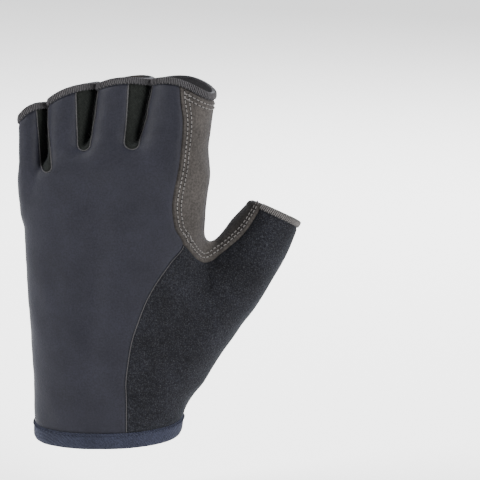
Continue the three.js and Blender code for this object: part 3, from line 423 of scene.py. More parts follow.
def below_rims(x, y, z):
    """How far a point lies below the finger openings."""
    heights = []
    for finger in FINGERS:
        middle_x, half_width, middle_y, _ = finger_section(finger, z)
        t = (x - middle_x - FINGER_SLANT * (y - middle_y)) / half_width
        t = np.clip(t, -FINGER_HOLD, FINGER_HOLD)
        left, middle, right = finger["high"]
        high = (middle + (right - left) / 2 * t + ((left + right) / 2 - middle) * t * t) * HAND_LENGTH
        heights.append(high - RIM_SLOPE * (y - middle_y))
    return np.choose(finger_index(x, y, z), heights) - z


def below_thumb_rim(x, y, z):
    distance, across, _ = thumb_place(x, y, z)
    return np.maximum(-distance - THUMB_RIM_SKEW * across, THUMB_GAP * PALM_WIDTH - x)


def middle_depth(x, z):
    """Depth of the middle between back and palm."""
    fingers = np.choose(finger_index(x, 0, z), [finger_section(finger, z)[2] for finger in FINGERS])
    at_fingers = fingers * smooth(z / HAND_LENGTH, *LEAN_OF_FINGERS)
    out = smooth(x / PALM_WIDTH, *LEAN_OF_THUMB)
    share = np.maximum((z / HAND_LENGTH - THUMB_FOOT["up"]) / (THUMB_RIM["up"] - THUMB_FOOT["up"]), 0)
    at_thumb = lerp(THUMB_FOOT["depth"], THUMB_RIM["depth"], share) * PALM_DEPTH
    return lerp(at_fingers, at_thumb, out)


def seen(x, y, z):
    """A point as seen from the back of the hand, across and up the view."""
    u = x * math.cos(VIEW_TURN) + y * math.sin(VIEW_TURN)
    back = y * math.cos(VIEW_TURN) - x * math.sin(VIEW_TURN)
    return u, z * math.cos(VIEW_RISE) + back * math.sin(VIEW_RISE)


def round_the_side(x, y, z, on_back, on_palm):
    """Blends a line of the back into a line of the palm round the sides."""
    return lerp(on_back, on_palm, smooth(y - middle_depth(x, z), -SIDE_BLEND, SIDE_BLEND))


def thumb_side(x, y, z):
    u, v = seen(x, y, z)
    on_back = u - along(BACK_EDGE, "up", "across", v / HAND_LENGTH) * PALM_WIDTH
    on_palm = x - along(PALM_EDGE, "up", "across", z / HAND_LENGTH) * PALM_WIDTH
    return round_the_side(x, y, z, on_back, on_palm)


def above_web_edge(x, y, z):
    u, v = seen(x, y, z)
    on_back = v - along(WEB_EDGE, "across", "up", u / PALM_WIDTH) * HAND_LENGTH
    return round_the_side(x, y, z, on_back, z - along(WEB_EDGE, "across", "up", x / PALM_WIDTH) * HAND_LENGTH)


def back_side(x, y, z):
    return middle_depth(x, z) + SIDE_SEAM - y


def slot_shape(across, up, rows):
    (end, end_half, end_up), (half, half_half, half_up), (rim, rim_half, rim_up) = rows
    across = across / PALM_WIDTH
    up = up / HAND_LENGTH
    low = np.clip((up - end_up) / (half_up - end_up), 0, 1)
    high = (up - half_up) / (rim_up - half_up)
    late = up > half_up
    width = np.where(late, lerp(half_half, rim_half, high), lerp(end_half, half_half, low))
    middle = np.where(late, lerp(half, rim, high), lerp(end, half, low))
    sides = (width - np.abs(across - middle)) * PALM_WIDTH
    circle = end_half * PALM_WIDTH - np.hypot((across - end) * PALM_WIDTH, (up - end_up) * HAND_LENGTH)
    return np.where(up < end_up, circle, sides)


def inside_slot(slot, x, y, z):
    end, rim = slot["palm"]
    halfway = tuple((a + b) / 2 for a, b in zip(end, rim))
    depth = y - middle_depth(x, z)
    u, v = seen(x, y, z)
    on_back = slot_shape(u, v, slot["back"]) + SLOT_DEEPEN * smooth(depth, -SLOT_DEEPEN, 0)
    on_palm = slot_shape(x, z, (end, halfway, rim)) + SLOT_DEEPEN * smooth(-depth, -SLOT_DEEPEN, 0)
    return round_the_side(x, y, z, on_back, on_palm)


def hem_height(x, y):
    wrist = BODY_SECTIONS[1]
    depth = (wrist["back"] + wrist["palm"]) * PALM_DEPTH
    width = (wrist["little"] + wrist["thumb"]) * PALM_WIDTH
    return HEM_RISE * (0.5 + y / depth) + HEM_TILT * (x / width)


SLIT_TOP = float(along(PALM_EDGE, "up", "across", np.array(SLIT_HEIGHT / HAND_LENGTH))) * PALM_WIDTH


def slit_open(z):
    return np.maximum(1 - z / SLIT_HEIGHT, 0)


def thumb_free_edge(z):
    return SLIT_TOP - SLIT_BOW * np.sin(math.pi * np.minimum(slit_open(z), 1))


def palm_free_edge(z):
    return thumb_free_edge(z) - SLIT_WIDTH * np.sqrt(slit_open(z))


def inside_tab(x, y, z):
    flare = PALM_WIDTH * smooth(z, TAB_TOP - TAB_FLARE, TAB_TOP)
    left = palm_free_edge(z) - TAB_WIDTH - flare - TAB_TAPER * smooth(z, -TAB_DROP, TAB_TOP)
    return soft_min(x - left, z + TAB_DROP, TAB_CORNER)


def inside_patch(x, y, z):
    inside = -back_side(x, y, z) - PATCH_INSET
    for side in PATCH_SIDES:
        angle = math.radians(side["out"])
        out = (x - side["across"] * PALM_WIDTH) * math.cos(angle)
        out = out + (z - side["up"] * HAND_LENGTH) * math.sin(angle)
        inside = soft_min(inside, -out, PATCH_CORNER)
    return inside


def away_from_palm(x, y, z):
    away = np.maximum(back_side(x, y, z), thumb_side(x, y, z))
    for slot in SLOTS:
        away = np.maximum(away, inside_slot(slot, x, y, z))
    return away


def slot_field(slot):
    return lambda x, y, z: inside_slot(slot, x, y, z)


SEAMS = {
    "thumb_side": thumb_side,
    "above_web_edge": above_web_edge,
    "back_side": back_side,
    "below_rims": below_rims,
    "below_thumb_rim": below_thumb_rim,
    "above_hem": lambda x, y, z: z - hem_height(x, y),
    "thumb_beside_slit": lambda x, y, z: np.maximum(
        np.maximum(back_side(x, y, z), x - thumb_free_edge(z)), z - SLIT_HEIGHT),
    "palm_beside_slit": lambda x, y, z: np.maximum(palm_free_edge(z) - x, z - SLIT_HEIGHT),
    "inside_tab": inside_tab,
    "hem_round": lambda x, y, z: np.maximum(back_side(x, y, z), x - thumb_free_edge(z)),
    "inside_patch": inside_patch,
    "away_from_palm": away_from_palm,
}
for one_slot in SLOTS:
    SEAMS[one_slot["name"]] = slot_field(one_slot)
COLUMN = {name: 6 + i for i, name in enumerate(SEAMS)}


def slope_of(field, points):
    """How fast a field grows each way at each point."""
    step = SLOPE_STEP
    x, y, z = points.T
    return np.stack([
        field(x + step, y, z) - field(x - step, y, z),
        field(x, y + step, z) - field(x, y - step, z),
        field(x, y, z + step) - field(x, y, z - step),
    ], axis=1) / (2 * step)


def columns_at(z, cell):
    """Places of the net's columns at a height: one on each gap between fingers and even steps between."""
    height = max(z, FINGER_FOOT * HAND_LENGTH)
    wall = GAP_CELL
    lines = []
    for i, finger in enumerate(FINGERS):
        middle_x, half_width, _, _ = finger_section(finger, height)
        left = middle_x - half_width - FINGER_GAP / 2
        right = middle_x + half_width + FINGER_GAP / 2
        lines += [left - 2 * cell, left - cell, left] if i == 0 else [left, left + wall]
        inner = round((finger["foot"][1] - finger["foot"][0]) * PALM_WIDTH / cell)
        lines += [lerp(left + wall, right - wall, k / inner) for k in range(1, inner)]
        lines.append(right - wall)
    lines = np.array(lines)
    even = 1 - smooth(z / HAND_LENGTH, *COLUMNS_EVEN)
    columns = lerp(lines, np.linspace(lines[0], lines[-1], len(lines)), even)
    reach = THUMB_OPENING[0] + THUMB_WIDTH
    more = np.arange(1, 1 + math.ceil((reach - PALM_WIDTH * 0.5) / cell)) * cell
    return np.concatenate([columns, columns[-1] + more])


def surface_net(cell):
    """Net over the glove's surface: its points and its triangles."""
    rows = np.arange(-TAB_DROP - 3 * cell, HAND_LENGTH + 3 * cell, cell)
    behind, ahead = (math.ceil(PALM_DEPTH * reach / cell) for reach in LAYERS_REACH)
    layers = np.arange(-behind, ahead) * cell + LAYER_SHIFT
    grid = np.stack([columns_at(z, cell) for z in rows])
    z = np.broadcast_to(rows[:, None, None], (len(rows), len(layers), grid.shape[1]))
    y = np.broadcast_to(layers[None, :, None], z.shape)
    x = np.broadcast_to(grid[:, None, :], z.shape)
    middle = finger_section(FINGERS[1], z)[2]
    slant = FINGER_SLANT * (y - middle) * smooth(z / HAND_LENGTH, FINGER_ROOT, FINGER_FOOT)
    x = x + slant * (1 - smooth(x / PALM_WIDTH, *LEAN_OF_THUMB))
    places = np.stack([x, y, z], axis=-1)
    values = glove_form(x, y, z)
    cells = np.array(values.shape) - 1
    total = np.zeros((*cells, 3))
    count = np.zeros(cells)
    quads = []
    for axis in range(3):
        size = np.array(values.shape)
        size[axis] -= 1
        first = tuple(slice(0, n) for n in size)
        second = tuple(slice(1 if a == axis else 0, None) for a in range(3))
        va, vb = values[first], values[second]
        others = [a for a in range(3) if a != axis]
        crossed = np.argwhere((va < 0) != (vb < 0))
        within = (crossed[:, others] > 0) & (crossed[:, others] < cells[others])
        crossed = crossed[within.all(axis=1)]
        at = tuple(crossed.T)
        share = va[at] / (va[at] - vb[at])
        spot = places[first][at] + (places[second][at] - places[first][at]) * share[:, None]
        corners = []
        for p, q in ((1, 1), (0, 1), (0, 0), (1, 0)):
            corner = crossed.copy()
            corner[:, others[0]] -= p
            corner[:, others[1]] -= q
            corners.append(corner)
            np.add.at(total, tuple(corner.T), spot)
            np.add.at(count, tuple(corner.T), 1)
        ids = np.stack([np.ravel_multi_index(tuple(c.T), cells) for c in corners], axis=1)
        flip = (va[at] < 0) == (axis != 1)
        ids[flip] = ids[flip][:, ::-1]
        quads.append(ids)
    used = np.flatnonzero(count.ravel())
    points = total.reshape(-1, 3)[used] / count.ravel()[used][:, None]
    number = np.full(count.size, -1)
    number[used] = np.arange(len(used))
    quads = number[np.concatenate(quads)]
    start = points.copy()
    for _ in range(SETTLE_STEPS):
        slope = slope_of(glove_form, points)
        size = np.maximum((slope ** 2).sum(axis=1), LEAST_SLOPE)
        points = points - slope * (glove_form(*points.T) / size)[:, None]
    moved = points - start
    far = np.linalg.norm(moved, axis=1)
    points = start + moved * np.minimum(1, cell / np.maximum(far, TINY))[:, None]
    a, b, c, d = quads.T
    short = np.linalg.norm(points[a] - points[c], axis=1) < np.linalg.norm(points[b] - points[d], axis=1)
    one = np.where(short[:, None], np.stack([a, b, c], axis=1), np.stack([b, c, d], axis=1))
    two = np.where(short[:, None], np.stack([a, c, d], axis=1), np.stack([b, d, a], axis=1))
    return points, np.concatenate([one, two])


def face_normals(points, triangles):
    a, b, c = (points[triangles[:, i]] for i in range(3))
    return np.cross(b - a, c - a)


def measured(points, triangles):
    """The net with, for each point, its place, its outward direction and its distance from every seam."""
    slope = slope_of(glove_form, points)
    outward = slope / np.maximum(np.linalg.norm(slope, axis=1), TINY)[:, None]
    if (face_normals(points, triangles) * outward[triangles[:, 0]]).sum() < 0:
        triangles = triangles[:, ::-1]
    faces = face_normals(points, triangles)
    normals = np.zeros_like(points)
    for i in range(3):
        np.add.at(normals, triangles[:, i], faces)
    normals /= np.maximum(np.linalg.norm(normals, axis=1), TINY)[:, None]
    columns = [points, normals]
    for field in SEAMS.values():
        way = slope_of(field, points)
        way -= outward * (way * outward).sum(axis=1)[:, None]
        size = np.maximum(np.linalg.norm(way, axis=1), LEAST_SEAM_SLOPE)
        columns.append((field(*points.T) / size)[:, None])
    return np.concatenate(columns, axis=1), triangles


def split(net, values, keep):
    """Cuts a net where the values are zero, and keeps the part above zero, below it, or both for 0."""
    data, triangles = net
    above = values > 0
    tags = above[triangles]
    whole = tags.sum(axis=1)
    kept = []
    if keep >= 0:
        kept.append(triangles[whole == 3])
    if keep <= 0:
        kept.append(triangles[whole == 0])
    mixed = triangles[(whole == 1) | (whole == 2)]
    rows = []
    cuts = {}

    def cut(i, j):
        pair = (i, j) if i < j else (j, i)
        if pair not in cuts:
            share = values[pair[0]] / (values[pair[0]] - values[pair[1]])
            cuts[pair] = len(data) + len(rows)
            rows.append(lerp(data[pair[0]], data[pair[1]], share))
        return cuts[pair]

    new = []
    for tri in mixed.tolist():
        flags = [bool(above[i]) for i in tri]
        lone = flags.index(sum(flags) == 1)
        a, b, c = tri[lone], tri[(lone + 1) % 3], tri[(lone + 2) % 3]
        p, q = cut(a, b), cut(a, c)
        if keep == 0 or (keep > 0) == flags[lone]:
            new.append([a, p, q])
        if keep == 0 or (keep > 0) != flags[lone]:
            new += [[p, b, c], [p, c, q]]
    if rows:
        data = np.concatenate([data, np.array(rows)])
    if new:
        kept.append(np.array(new))
    return data, np.concatenate(kept)


def tidied(net):
    """Drops unused points, draws the shortest edges together and keeps the largest connected part."""
    data, triangles = net
    target = np.arange(len(data))
    for pair in ((0, 1), (1, 2), (2, 0)):
        ends = target[triangles[:, pair]]
        close = np.linalg.norm(data[ends[:, 0], :3] - data[ends[:, 1], :3], axis=1) < SHORTEST_EDGE
        for a, b in ends[close].tolist():
            while target[a] != a:
                a = target[a]
            while target[b] != b:
                b = target[b]
            target[max(a, b)] = min(a, b)
    for _ in range(6):
        target = target[target]
    triangles = target[triangles]
    a, b, c = triangles.T
    triangles = triangles[(a != b) & (b != c) & (c != a)]
    group = np.arange(len(data))
    while True:
        low = group[triangles].min(axis=1)
        before = group.copy()
        for i in range(3):
            np.minimum.at(group, triangles[:, i], low)
        group = group[group]
        if (group == before).all():
            break
    groups, sizes = np.unique(group[triangles[:, 0]], return_counts=True)
    triangles = triangles[group[triangles[:, 0]] == groups[sizes.argmax()]]
    used, flat = np.unique(triangles, return_inverse=True)
    return data[used], flat.reshape(-1, 3)


OUT_OF_SLOTS = [(slot["name"], 0, -1) for slot in SLOTS]

# Panels: the seams that bound each, each with a distance from it and the side on which the panel lies.
WITHIN = {
    "back_panel": [("back_side", 0, 1), ("thumb_side", 0, -1), ("below_rims", EDGE_HEIGHT, 1),
                   ("above_hem", HEM_HEIGHT, 1), *OUT_OF_SLOTS],
    "palm_panel": [("back_side", 0, -1), ("thumb_side", 0, -1), ("below_rims", 0, 1),
                   ("palm_beside_slit", 0, 1), ("inside_tab", 0, 1), *OUT_OF_SLOTS],
    "web_panel": [("thumb_side", 0, 1), ("above_web_edge", 0, 1), ("below_rims", EDGE_HEIGHT, 1),
                  ("below_thumb_rim", 0, 1), OUT_OF_SLOTS[2]],
    "thumb_panel": [("thumb_side", 0, 1), ("above_web_edge", 0, -1), ("below_thumb_rim", EDGE_HEIGHT, 1),
                    ("above_hem", HEM_HEIGHT, 1), ("thumb_beside_slit", 0, 1)],
    "thumb_edge": [("above_web_edge", 0, -1), ("below_thumb_rim", 0, 1), ("below_thumb_rim", EDGE_HEIGHT, -1),
                   ("thumb_side", 0, 1)],
    "hem_band": [("hem_round", 0, 1), ("above_hem", 0, 1), ("above_hem", HEM_HEIGHT, -1)],
    "palm_patch": [("inside_patch", 0, 1)],
}
for one_slot in SLOTS:
    WITHIN[one_slot["name"]] = [(one_slot["name"], 0, 1), ("below_rims", EDGE_HEIGHT, 1)]
EDGE_WITHIN = [("below_rims", 0, 1), ("below_rims", EDGE_HEIGHT, -1), ("away_from_palm", 0, 1)]

nets = {}


def base_net(props):
    if "base" not in nets:
        nets["base"] = measured(*surface_net(props.cell))
    return nets["base"]


def panel_net(props, name):
    """The net of one panel, with extra lines near its borders. Its last column is the way to the border."""
    if name in nets:
        return nets[name]
    data, triangles = base_net(props)
    within = WITHIN.get(name, EDGE_WITHIN)
    if name.startswith("edge_"):
        mine = [finger["name"] for finger in FINGERS].index(name[5:])
        which = finger_index(*data[:, :3].T)
        triangles = triangles[(which[triangles] == mine).all(axis=1)]
    net = (data, triangles)
    for seam, distance, side in within:
        net = split(net, side * (net[0][:, COLUMN[seam]] - distance), 1)
    net = tidied(net)
    for seam, distance, side in within:
        for ring in BORDER_RINGS:
            net = split(net, side * (net[0][:, COLUMN[seam]] - distance) - ring, 0)
    net = tidied(net)
    border = np.min([side * (net[0][:, COLUMN[seam]] - distance) for seam, distance, side in within], axis=0)
    nets[name] = (np.concatenate([net[0], border[:, None]], axis=1), net[1])
    return nets[name]


def dent_depth(u, v, dents):
    """How deep the listed folds and dents press the cloth in at a place."""
    deep = np.zeros_like(u)
    for dent in dents:
        start = np.array(dent["start"], float)
        way = np.array(dent["end"], float) - start
        length = np.linalg.norm(way)
        way /= length
        du, dv = u - start[0], v - start[1]
        share = (du * way[0] + dv * way[1]) / length
        off = (du * way[1] - dv * way[0]) / dent["wide"]
        over = np.maximum(np.abs(share - 0.5) - 0.5, 0) * length / (FOLD_END * dent["wide"])
        bend = 1 + FOLD_WAVE * np.sin(share * FOLD_WAVES + length)
        deep += dent["deep"] * bend * np.exp(-off ** 2 - over ** 2)
    return deep


def folds(data, amount):
    """Displacement of the worn cloth's folds along its outward direction."""
    x, y, z = data[:, :3].T
    u, v = seen(x, y, z)
    palm = smooth(y - middle_depth(x, z), -3, 3)
    shift = -(1 - palm) * dent_depth(u, v, BACK_DENTS) - palm * dent_depth(x, z, PALM_DENTS)
    ripple = np.sin(x * 0.31 + z * 0.11 + 1.3) * np.sin(z * 0.17 - y * 0.2 + 0.4)
    ripple += FINE_RIPPLE * np.sin(x * 0.57 - z * 0.23) * np.sin(z * 0.41 + x * 0.12 + 2)
    return amount * (shift + RIPPLE_DEPTH * ripple)


def mesh_object(name, points, faces, material, smooth_angle=50):
    """A mesh from points in millimetres, validated and shaded smooth by angle."""
    mesh = bpy.data.meshes.new(name)
    mesh.from_pydata((np.asarray(points) / 1000).tolist(), [], [list(map(int, f)) for f in faces])
    mesh.validate()
    obj = bpy.data.objects.new(name, mesh)
    bpy.context.scene.collection.objects.link(obj)
    mesh.materials.append(material)
    bpy.ops.object.select_all(action="DESELECT")
    obj.select_set(True)
    bpy.context.view_layer.objects.active = obj
    bpy.ops.object.shade_smooth_by_angle(angle=math.radians(smooth_angle))
    return obj


def wall(net, outer, inner):
    """Closed wall between two offsets of a net."""
    data, triangles = net
    count = len(data)
    places, normals = data[:, :3], data[:, 3:6]
    points = np.concatenate([places + normals * outer[:, None], places + normals * inner[:, None]])
    faces = triangles.tolist() + (triangles[:, ::-1] + count).tolist()
    edges = set()
    for a, b, c in triangles.tolist():
        for p, q in ((a, b), (b, c), (c, a)):
            if (q, p) in edges:
                edges.remove((q, p))
            else:
                edges.add((p, q))
    faces += [[p, count + p, count + q, q] for p, q in sorted(edges)]
    return points, faces


def lines_at(net, seam, value):
    """Lines on a net at a distance from a seam, each as its places and its outward directions."""
    data, triangles = net
    level = data[:, COLUMN[seam]] - value
    above = level > 0
    links = {}
    spots = {}
    for tri in triangles[(above[triangles].sum(axis=1) % 3) != 0].tolist():
        ends = []
        for i, j in ((0, 1), (1, 2), (2, 0)):
            a, b = sorted((tri[i], tri[j]))
            if above[a] != above[b]:
                share = level[a] / (level[a] - level[b])
                spots[(a, b)] = lerp(data[a, :6], data[b, :6], share)
                ends.append((a, b))
        if len(ends) == 2:
            links.setdefault(ends[0], []).append(ends[1])
            links.setdefault(ends[1], []).append(ends[0])
    lines = []
    left = set(links)
    starts = sorted(k for k in left if len(links[k]) == 1) + sorted(left)
    for start in starts:
        if start not in left:
            continue
        chain = [start]
        left.discard(start)
        while True:
            following = [k for k in links[chain[-1]] if k in left]
            if not following:
                break
            chain.append(following[0])
            left.discard(following[0])
        if chain[0] in links[chain[-1]] and len(chain) > 3:
            chain.append(chain[0])
        if len(chain) > 3:
            lines.append(np.array([spots[k] for k in chain]))
    return lines


def spaced(line, pitch):
    """Places along a line at an even pitch, with the outward direction and the way along."""
    steps = np.linalg.norm(np.diff(line[:, :3], axis=0), axis=1)
    run = np.concatenate([[0], np.cumsum(steps)])
    count = int(run[-1] / pitch)
    if count < 2:
        return np.zeros((0, 9))
    at = (np.arange(count) + 0.5) * run[-1] / count
    even = np.stack([np.interp(at, run, line[:, i]) for i in range(6)], axis=1)
    ahead = np.stack([np.interp(at + 0.4, run, line[:, i]) for i in range(3)], axis=1)
    behind = np.stack([np.interp(at - 0.4, run, line[:, i]) for i in range(3)], axis=1)
    way = ahead - behind
    way /= np.maximum(np.linalg.norm(way, axis=1), TINY)[:, None]
    out = even[:, 3:6] / np.maximum(np.linalg.norm(even[:, 3:6], axis=1), TINY)[:, None]
    return np.concatenate([even[:, :3], out, way], axis=1)


def tube(path, radii, sides=6):
    """Closed tube along a path, with its radius at each place."""
    path = np.asarray(path, float)
    ways = np.gradient(path, axis=0)
    ways /= np.maximum(np.linalg.norm(ways, axis=1), 1e-9)[:, None]
    side = np.cross(ways[0], [0.3, 0.5, 0.81])
    points = []
    for place, way, radius in zip(path, ways, radii):
        side = side - way * side.dot(way)
        side /= np.linalg.norm(side)
        other = np.cross(way, side)
        for k in range(sides):
            turn = 2 * math.pi * k / sides
            points.append(place + radius * (math.cos(turn) * side + math.sin(turn) * other))
    faces = []
    for i in range(len(path) - 1):
        for k in range(sides):
            n = (k + 1) % sides
            faces.append([i * sides + k, i * sides + n, (i + 1) * sides + n, (i + 1) * sides + k])
    faces.append(list(range(sides))[::-1])
    faces.append([(len(path) - 1) * sides + k for k in range(sides)])
    return np.array(points), faces


def gathered(parts):
    """Several meshes as one set of points and faces."""
    points = []
    faces = []
    total = 0
    for some, those in parts:
        points.append(some)
        faces += [[i + total for i in f] for f in those]
        total += len(some)
    return np.concatenate(points), faces


def stitch_row(line, pitch, length, radius, lift):
    """Lockstitches along a line: each rises out of its hole and dips into the next."""
    parts = []
    for row in spaced(line, pitch):
        place, out, way = row[:3], row[3:6], row[6:9]
        shares = (-0.5, -0.3, 0.0, 0.3, 0.5)
        rises = (-0.35, 0.6, 1.0, 0.6, -0.35)
        path = [place + way * length * s + out * (lift + radius * r) for s, r in zip(shares, rises)]
        parts.append(tube(path, [radius * w for w in (0.6, 0.95, 1.0, 0.95, 0.6)]))
    return parts


def discs(rows, radius, lift):
    """Small flat discs laid on the cloth in place of needle holes and perforations, which are not cut; their
    near-black material is painted shade of the holes.
    """
    parts = []
    for row in rows:
        place, out = row[:3], row[3:6]
        side = unit(np.cross(out, [0.2, 0.3, 0.93]))
        other = np.cross(out, side)
        turns = [2 * math.pi * k / 10 for k in range(10)]
        ring = [place + out * lift + radius * (math.cos(t) * side + math.sin(t) * other) for t in turns]
        ring += [place - out * 0.2 + radius * (math.cos(t) * side + math.sin(t) * other) for t in turns]
        faces = [list(range(10)), list(range(10, 20))[::-1]]
        faces += [[k, 10 + k, 10 + (k + 1) % 10, (k + 1) % 10] for k in range(10)]
        parts.append((np.array(ring), faces))
    return parts


def cloth(name, colour, rough, sheen=0.0, bump=0.2, grain=900.0, tone=0.25, weave=0.0, fuzz=0.0):
    """Procedural cloth: two sizes of tone, a fine grain or weave as bump, and sheen."""
    title = name + " look"
    if title in bpy.data.materials:
        return bpy.data.materials[title]
    mat = bpy.data.materials.new(title)
    mat.use_nodes = True
    tree = mat.node_tree
    shader = tree.nodes["Principled BSDF"]
    shader.inputs["Roughness"].default_value = rough
    shader.inputs["Specular IOR Level"].default_value = 0.1
    shader.inputs["Sheen Weight"].default_value = sheen
    shader.inputs["Sheen Roughness"].default_value = 0.45
    shader.inputs["Sheen Tint"].default_value = (0.72, 0.78, 1.0, 1.0)
    where = tree.nodes.new("ShaderNodeTexCoord")

    def noise(scale, detail, rough_detail=0.6):
        node = tree.nodes.new("ShaderNodeTexNoise")
        node.inputs["Scale"].default_value = scale
        node.inputs["Detail"].default_value = detail
        node.inputs["Roughness"].default_value = rough_detail
        tree.links.new(where.outputs["Object"], node.inputs["Vector"])
        return node

    def ramp(source, low, high, dark, light):
        node = tree.nodes.new("ShaderNodeValToRGB")
        node.color_ramp.elements[0].position = low
        node.color_ramp.elements[1].position = high
        node.color_ramp.elements[0].color = (*dark, 1)
        node.color_ramp.elements[1].color = (*light, 1)
        tree.links.new(source, node.inputs["Fac"])
        return node

    colour = np.array(colour)
    drift = tone * LARGE_TONE
    large = ramp(noise(60, 3).outputs["Fac"], 0.35, 0.65, colour * (1 - drift), colour * (1 + drift))
    fine = ramp(noise(grain, 2, 0.7).outputs["Fac"], 0.36, 0.66, (1 - tone,) * 3, (1 + tone,) * 3)
    mixed = tree.nodes.new("ShaderNodeMix")
    mixed.data_type = "RGBA"
    mixed.blend_type = "MULTIPLY"
    mixed.inputs["Factor"].default_value = 1.0
    tree.links.new(large.outputs["Color"], mixed.inputs[6])
    tree.links.new(fine.outputs["Color"], mixed.inputs[7])
    result = mixed.outputs[2]
    if fuzz:
        speck = ramp(noise(2400, 1).outputs["Fac"], 0.52, 0.72, (0.0,) * 3, (fuzz,) * 3)
        added = tree.nodes.new("ShaderNodeMix")
        added.data_type = "RGBA"
        added.blend_type = "ADD"
        added.inputs["Factor"].default_value = 1.0
        tree.links.new(result, added.inputs[6])
        tree.links.new(speck.outputs["Color"], added.inputs[7])
        result = added.outputs[2]
    tree.links.new(result, shader.inputs["Base Color"])
    height = noise(grain * 0.8, 4, 0.65).outputs["Fac"]
    if weave:
        wave = tree.nodes.new("ShaderNodeTexWave")
        wave.wave_type = "BANDS"
        wave.bands_direction = "DIAGONAL"
        wave.inputs["Scale"].default_value = weave
        wave.inputs["Distortion"].default_value = 1.5
        wave.inputs["Detail Scale"].default_value = 3.0
        tree.links.new(where.outputs["Object"], wave.inputs["Vector"])
        summed = tree.nodes.new("ShaderNodeMath")
        summed.operation = "ADD"
        tree.links.new(height, summed.inputs[0])
        tree.links.new(wave.outputs["Fac"], summed.inputs[1])
        height = summed.outputs[0]
    raised = tree.nodes.new("ShaderNodeBump")
    raised.inputs["Strength"].default_value = bump
    raised.inputs["Distance"].default_value = 0.0004
    tree.links.new(height, raised.inputs["Height"])
    tree.links.new(raised.outputs["Normal"], shader.inputs["Normal"])
    return mat


def softshell():
    return cloth("softshell", (0.0085, 0.0086, 0.0125), 0.6, sheen=0.04, bump=0.35, grain=1400, tone=0.2)


def suede():
    return cloth("suede", (0.0285, 0.0255, 0.0235), 0.95, sheen=0.04, bump=0.7, grain=1100, tone=0.3)


def patch_suede():
    return cloth("patch suede", (0.038, 0.034, 0.0315), 0.95, sheen=0.04, bump=0.7, grain=1100, tone=0.28)


def brushed_knit():
    return cloth("brushed knit", (0.0045, 0.0048, 0.0064), 0.95, sheen=0.035, bump=1.0, grain=1200, tone=0.5,
                 fuzz=0.014)


def strip_knit():
    return cloth("strip knit", (0.005, 0.0058, 0.005), 0.9, sheen=0.02, bump=0.4, grain=1000, tone=0.3,
                 weave=260)


def jersey():
    return cloth("jersey", (0.014, 0.0155, 0.025), 0.9, sheen=0.05, bump=0.6, grain=1500, tone=0.3, weave=420)


def thread(name, colour):
    return cloth(name, colour, 0.8, sheen=0.05, bump=0.3, grain=2500, tone=0.25)


def grey_thread():
    return thread("grey thread", (0.032, 0.031, 0.032))


def overlock_loop_thread():
    return thread("overlock loops", (0.042, 0.04, 0.042))


def overlock_thread():
    return thread("overlock thread", (0.016, 0.0155, 0.0165))


def light_thread():
    return thread("light thread", (0.085, 0.08, 0.077))


# Near-black colour for the discs that stand in for needle holes and perforations: painted shade inside each
# hole, which is not cut into the cloth.
def painted_hole_shade():
    return cloth("needle hole", (0.006, 0.006, 0.006), 1.0, bump=0.1)


def stands_for(obj, node):
    """A piece that rides with the glove in place of its plain solid."""
    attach(obj, "root")
    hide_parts(node)


def finish_piece(obj, node):
    """A cloth panel that rides with the glove in place of its plain solid."""
    stands_for(obj, node)


def trim(name, parts, material):
    """Stitches, loops, piping, or the dark discs of painted hole shade, as one piece that rides with the glove.
    """
    if not parts:
        raise RuntimeError(f"{name} has nothing to build")
    obj = mesh_object(name, *gathered(parts), material, 60)
    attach(obj, "root")
    return obj


def panel(props, name, material, thick, proud=0.0, sink=0.45, puff=0.0, roll=None):
    """One cloth wall with its folds, sunk along its seams, or rolled over at a free edge."""
    net = panel_net(props, name)
    data = net[0]
    border = np.maximum(data[:, -1], 0)
    shift = folds(data, props.fold_depth)
    outer = proud + shift - sink * np.exp(-(border / SEAM_WIDTH) ** 2)
    outer += puff * (1 - np.exp(-(border / PUFF_WIDTH) ** 2))
    inner = proud - thick + shift
    if roll:
        seam, distance, reach, rise = roll
        from_rim = np.abs(data[:, COLUMN[seam]] - distance)
        outer = outer + rise * (1 - smooth(from_rim, reach * 0.75, reach))
    return mesh_object(name + "_cloth", *wall(net, outer, inner), material)


def stitched(net, seam, offsets, props, lift, pitch=None, limit=None):
    """Rows of stitches beside a seam, and discs at their needle holes that carry the holes' painted shade."""
    pitch = pitch or props.stitch_pitch
    rows = []
    holes = []
    for offset in offsets:
        for line in lines_at(net, seam, offset):
            if limit is not None:
                line = line[limit(*line[:, :3].T)]
            if len(line) < 4:
                continue
            line = line.copy()
            line[:, :3] += line[:, 3:6] * folds(line, props.fold_depth)[:, None]
            rows += stitch_row(line, pitch, pitch * STITCH_SHARE, props.thread_radius, lift)
            shifted = spaced(line, pitch)
            shifted[:, :3] += shifted[:, 6:9] * pitch / 2
            holes += discs(shifted, props.thread_radius * 1.3, lift + 0.03)
    return rows, holes


def loops(props, net, seam, lift):
    """Overlock loops over a cut edge: each climbs the band and folds over the rim."""
    parts = []
    for line in lines_at(net, seam, LOOP_RIM):
        for i, row in enumerate(spaced(line, props.loop_pitch)):
            place, out, way = row[:3], row[3:6], row[6:9]
            up = np.cross(out, way)
            if up[2] < 0:
                up = -up
            drop = LOOP_HEIGHT - (0.35 if i % 2 else 0.0)
            path = [
                place - up * drop + out * (lift - 0.1) + way * 0.35,
                place - up * drop * 0.8 + out * (lift + 0.2) + way * 0.3,
                place - up * drop * 0.4 + out * (lift + 0.26) + way * 0.12,
                place + up * 0.02 + out * (lift + 0.1),
                place + up * 0.2 - out * 0.5,
                place - up * 0.3 - out * 1.5,
            ]
            parts.append(tube(path, [LOOP_RADIUS * w for w in (0.7, 1, 1, 1, 1, 0.7)], 5))
    return parts


def piping(lines, radius, lift, props):
    """A thin rounded line of turned cloth along a seam."""
    parts = []
    for line in lines:
        even = spaced(line, 0.8)
        if len(even) < 4:
            continue
        path = even[:, :3] + even[:, 3:6] * (lift + folds(even, props.fold_depth))[:, None]
        parts.append(tube(path, [radius] * len(path), 6))
    return parts


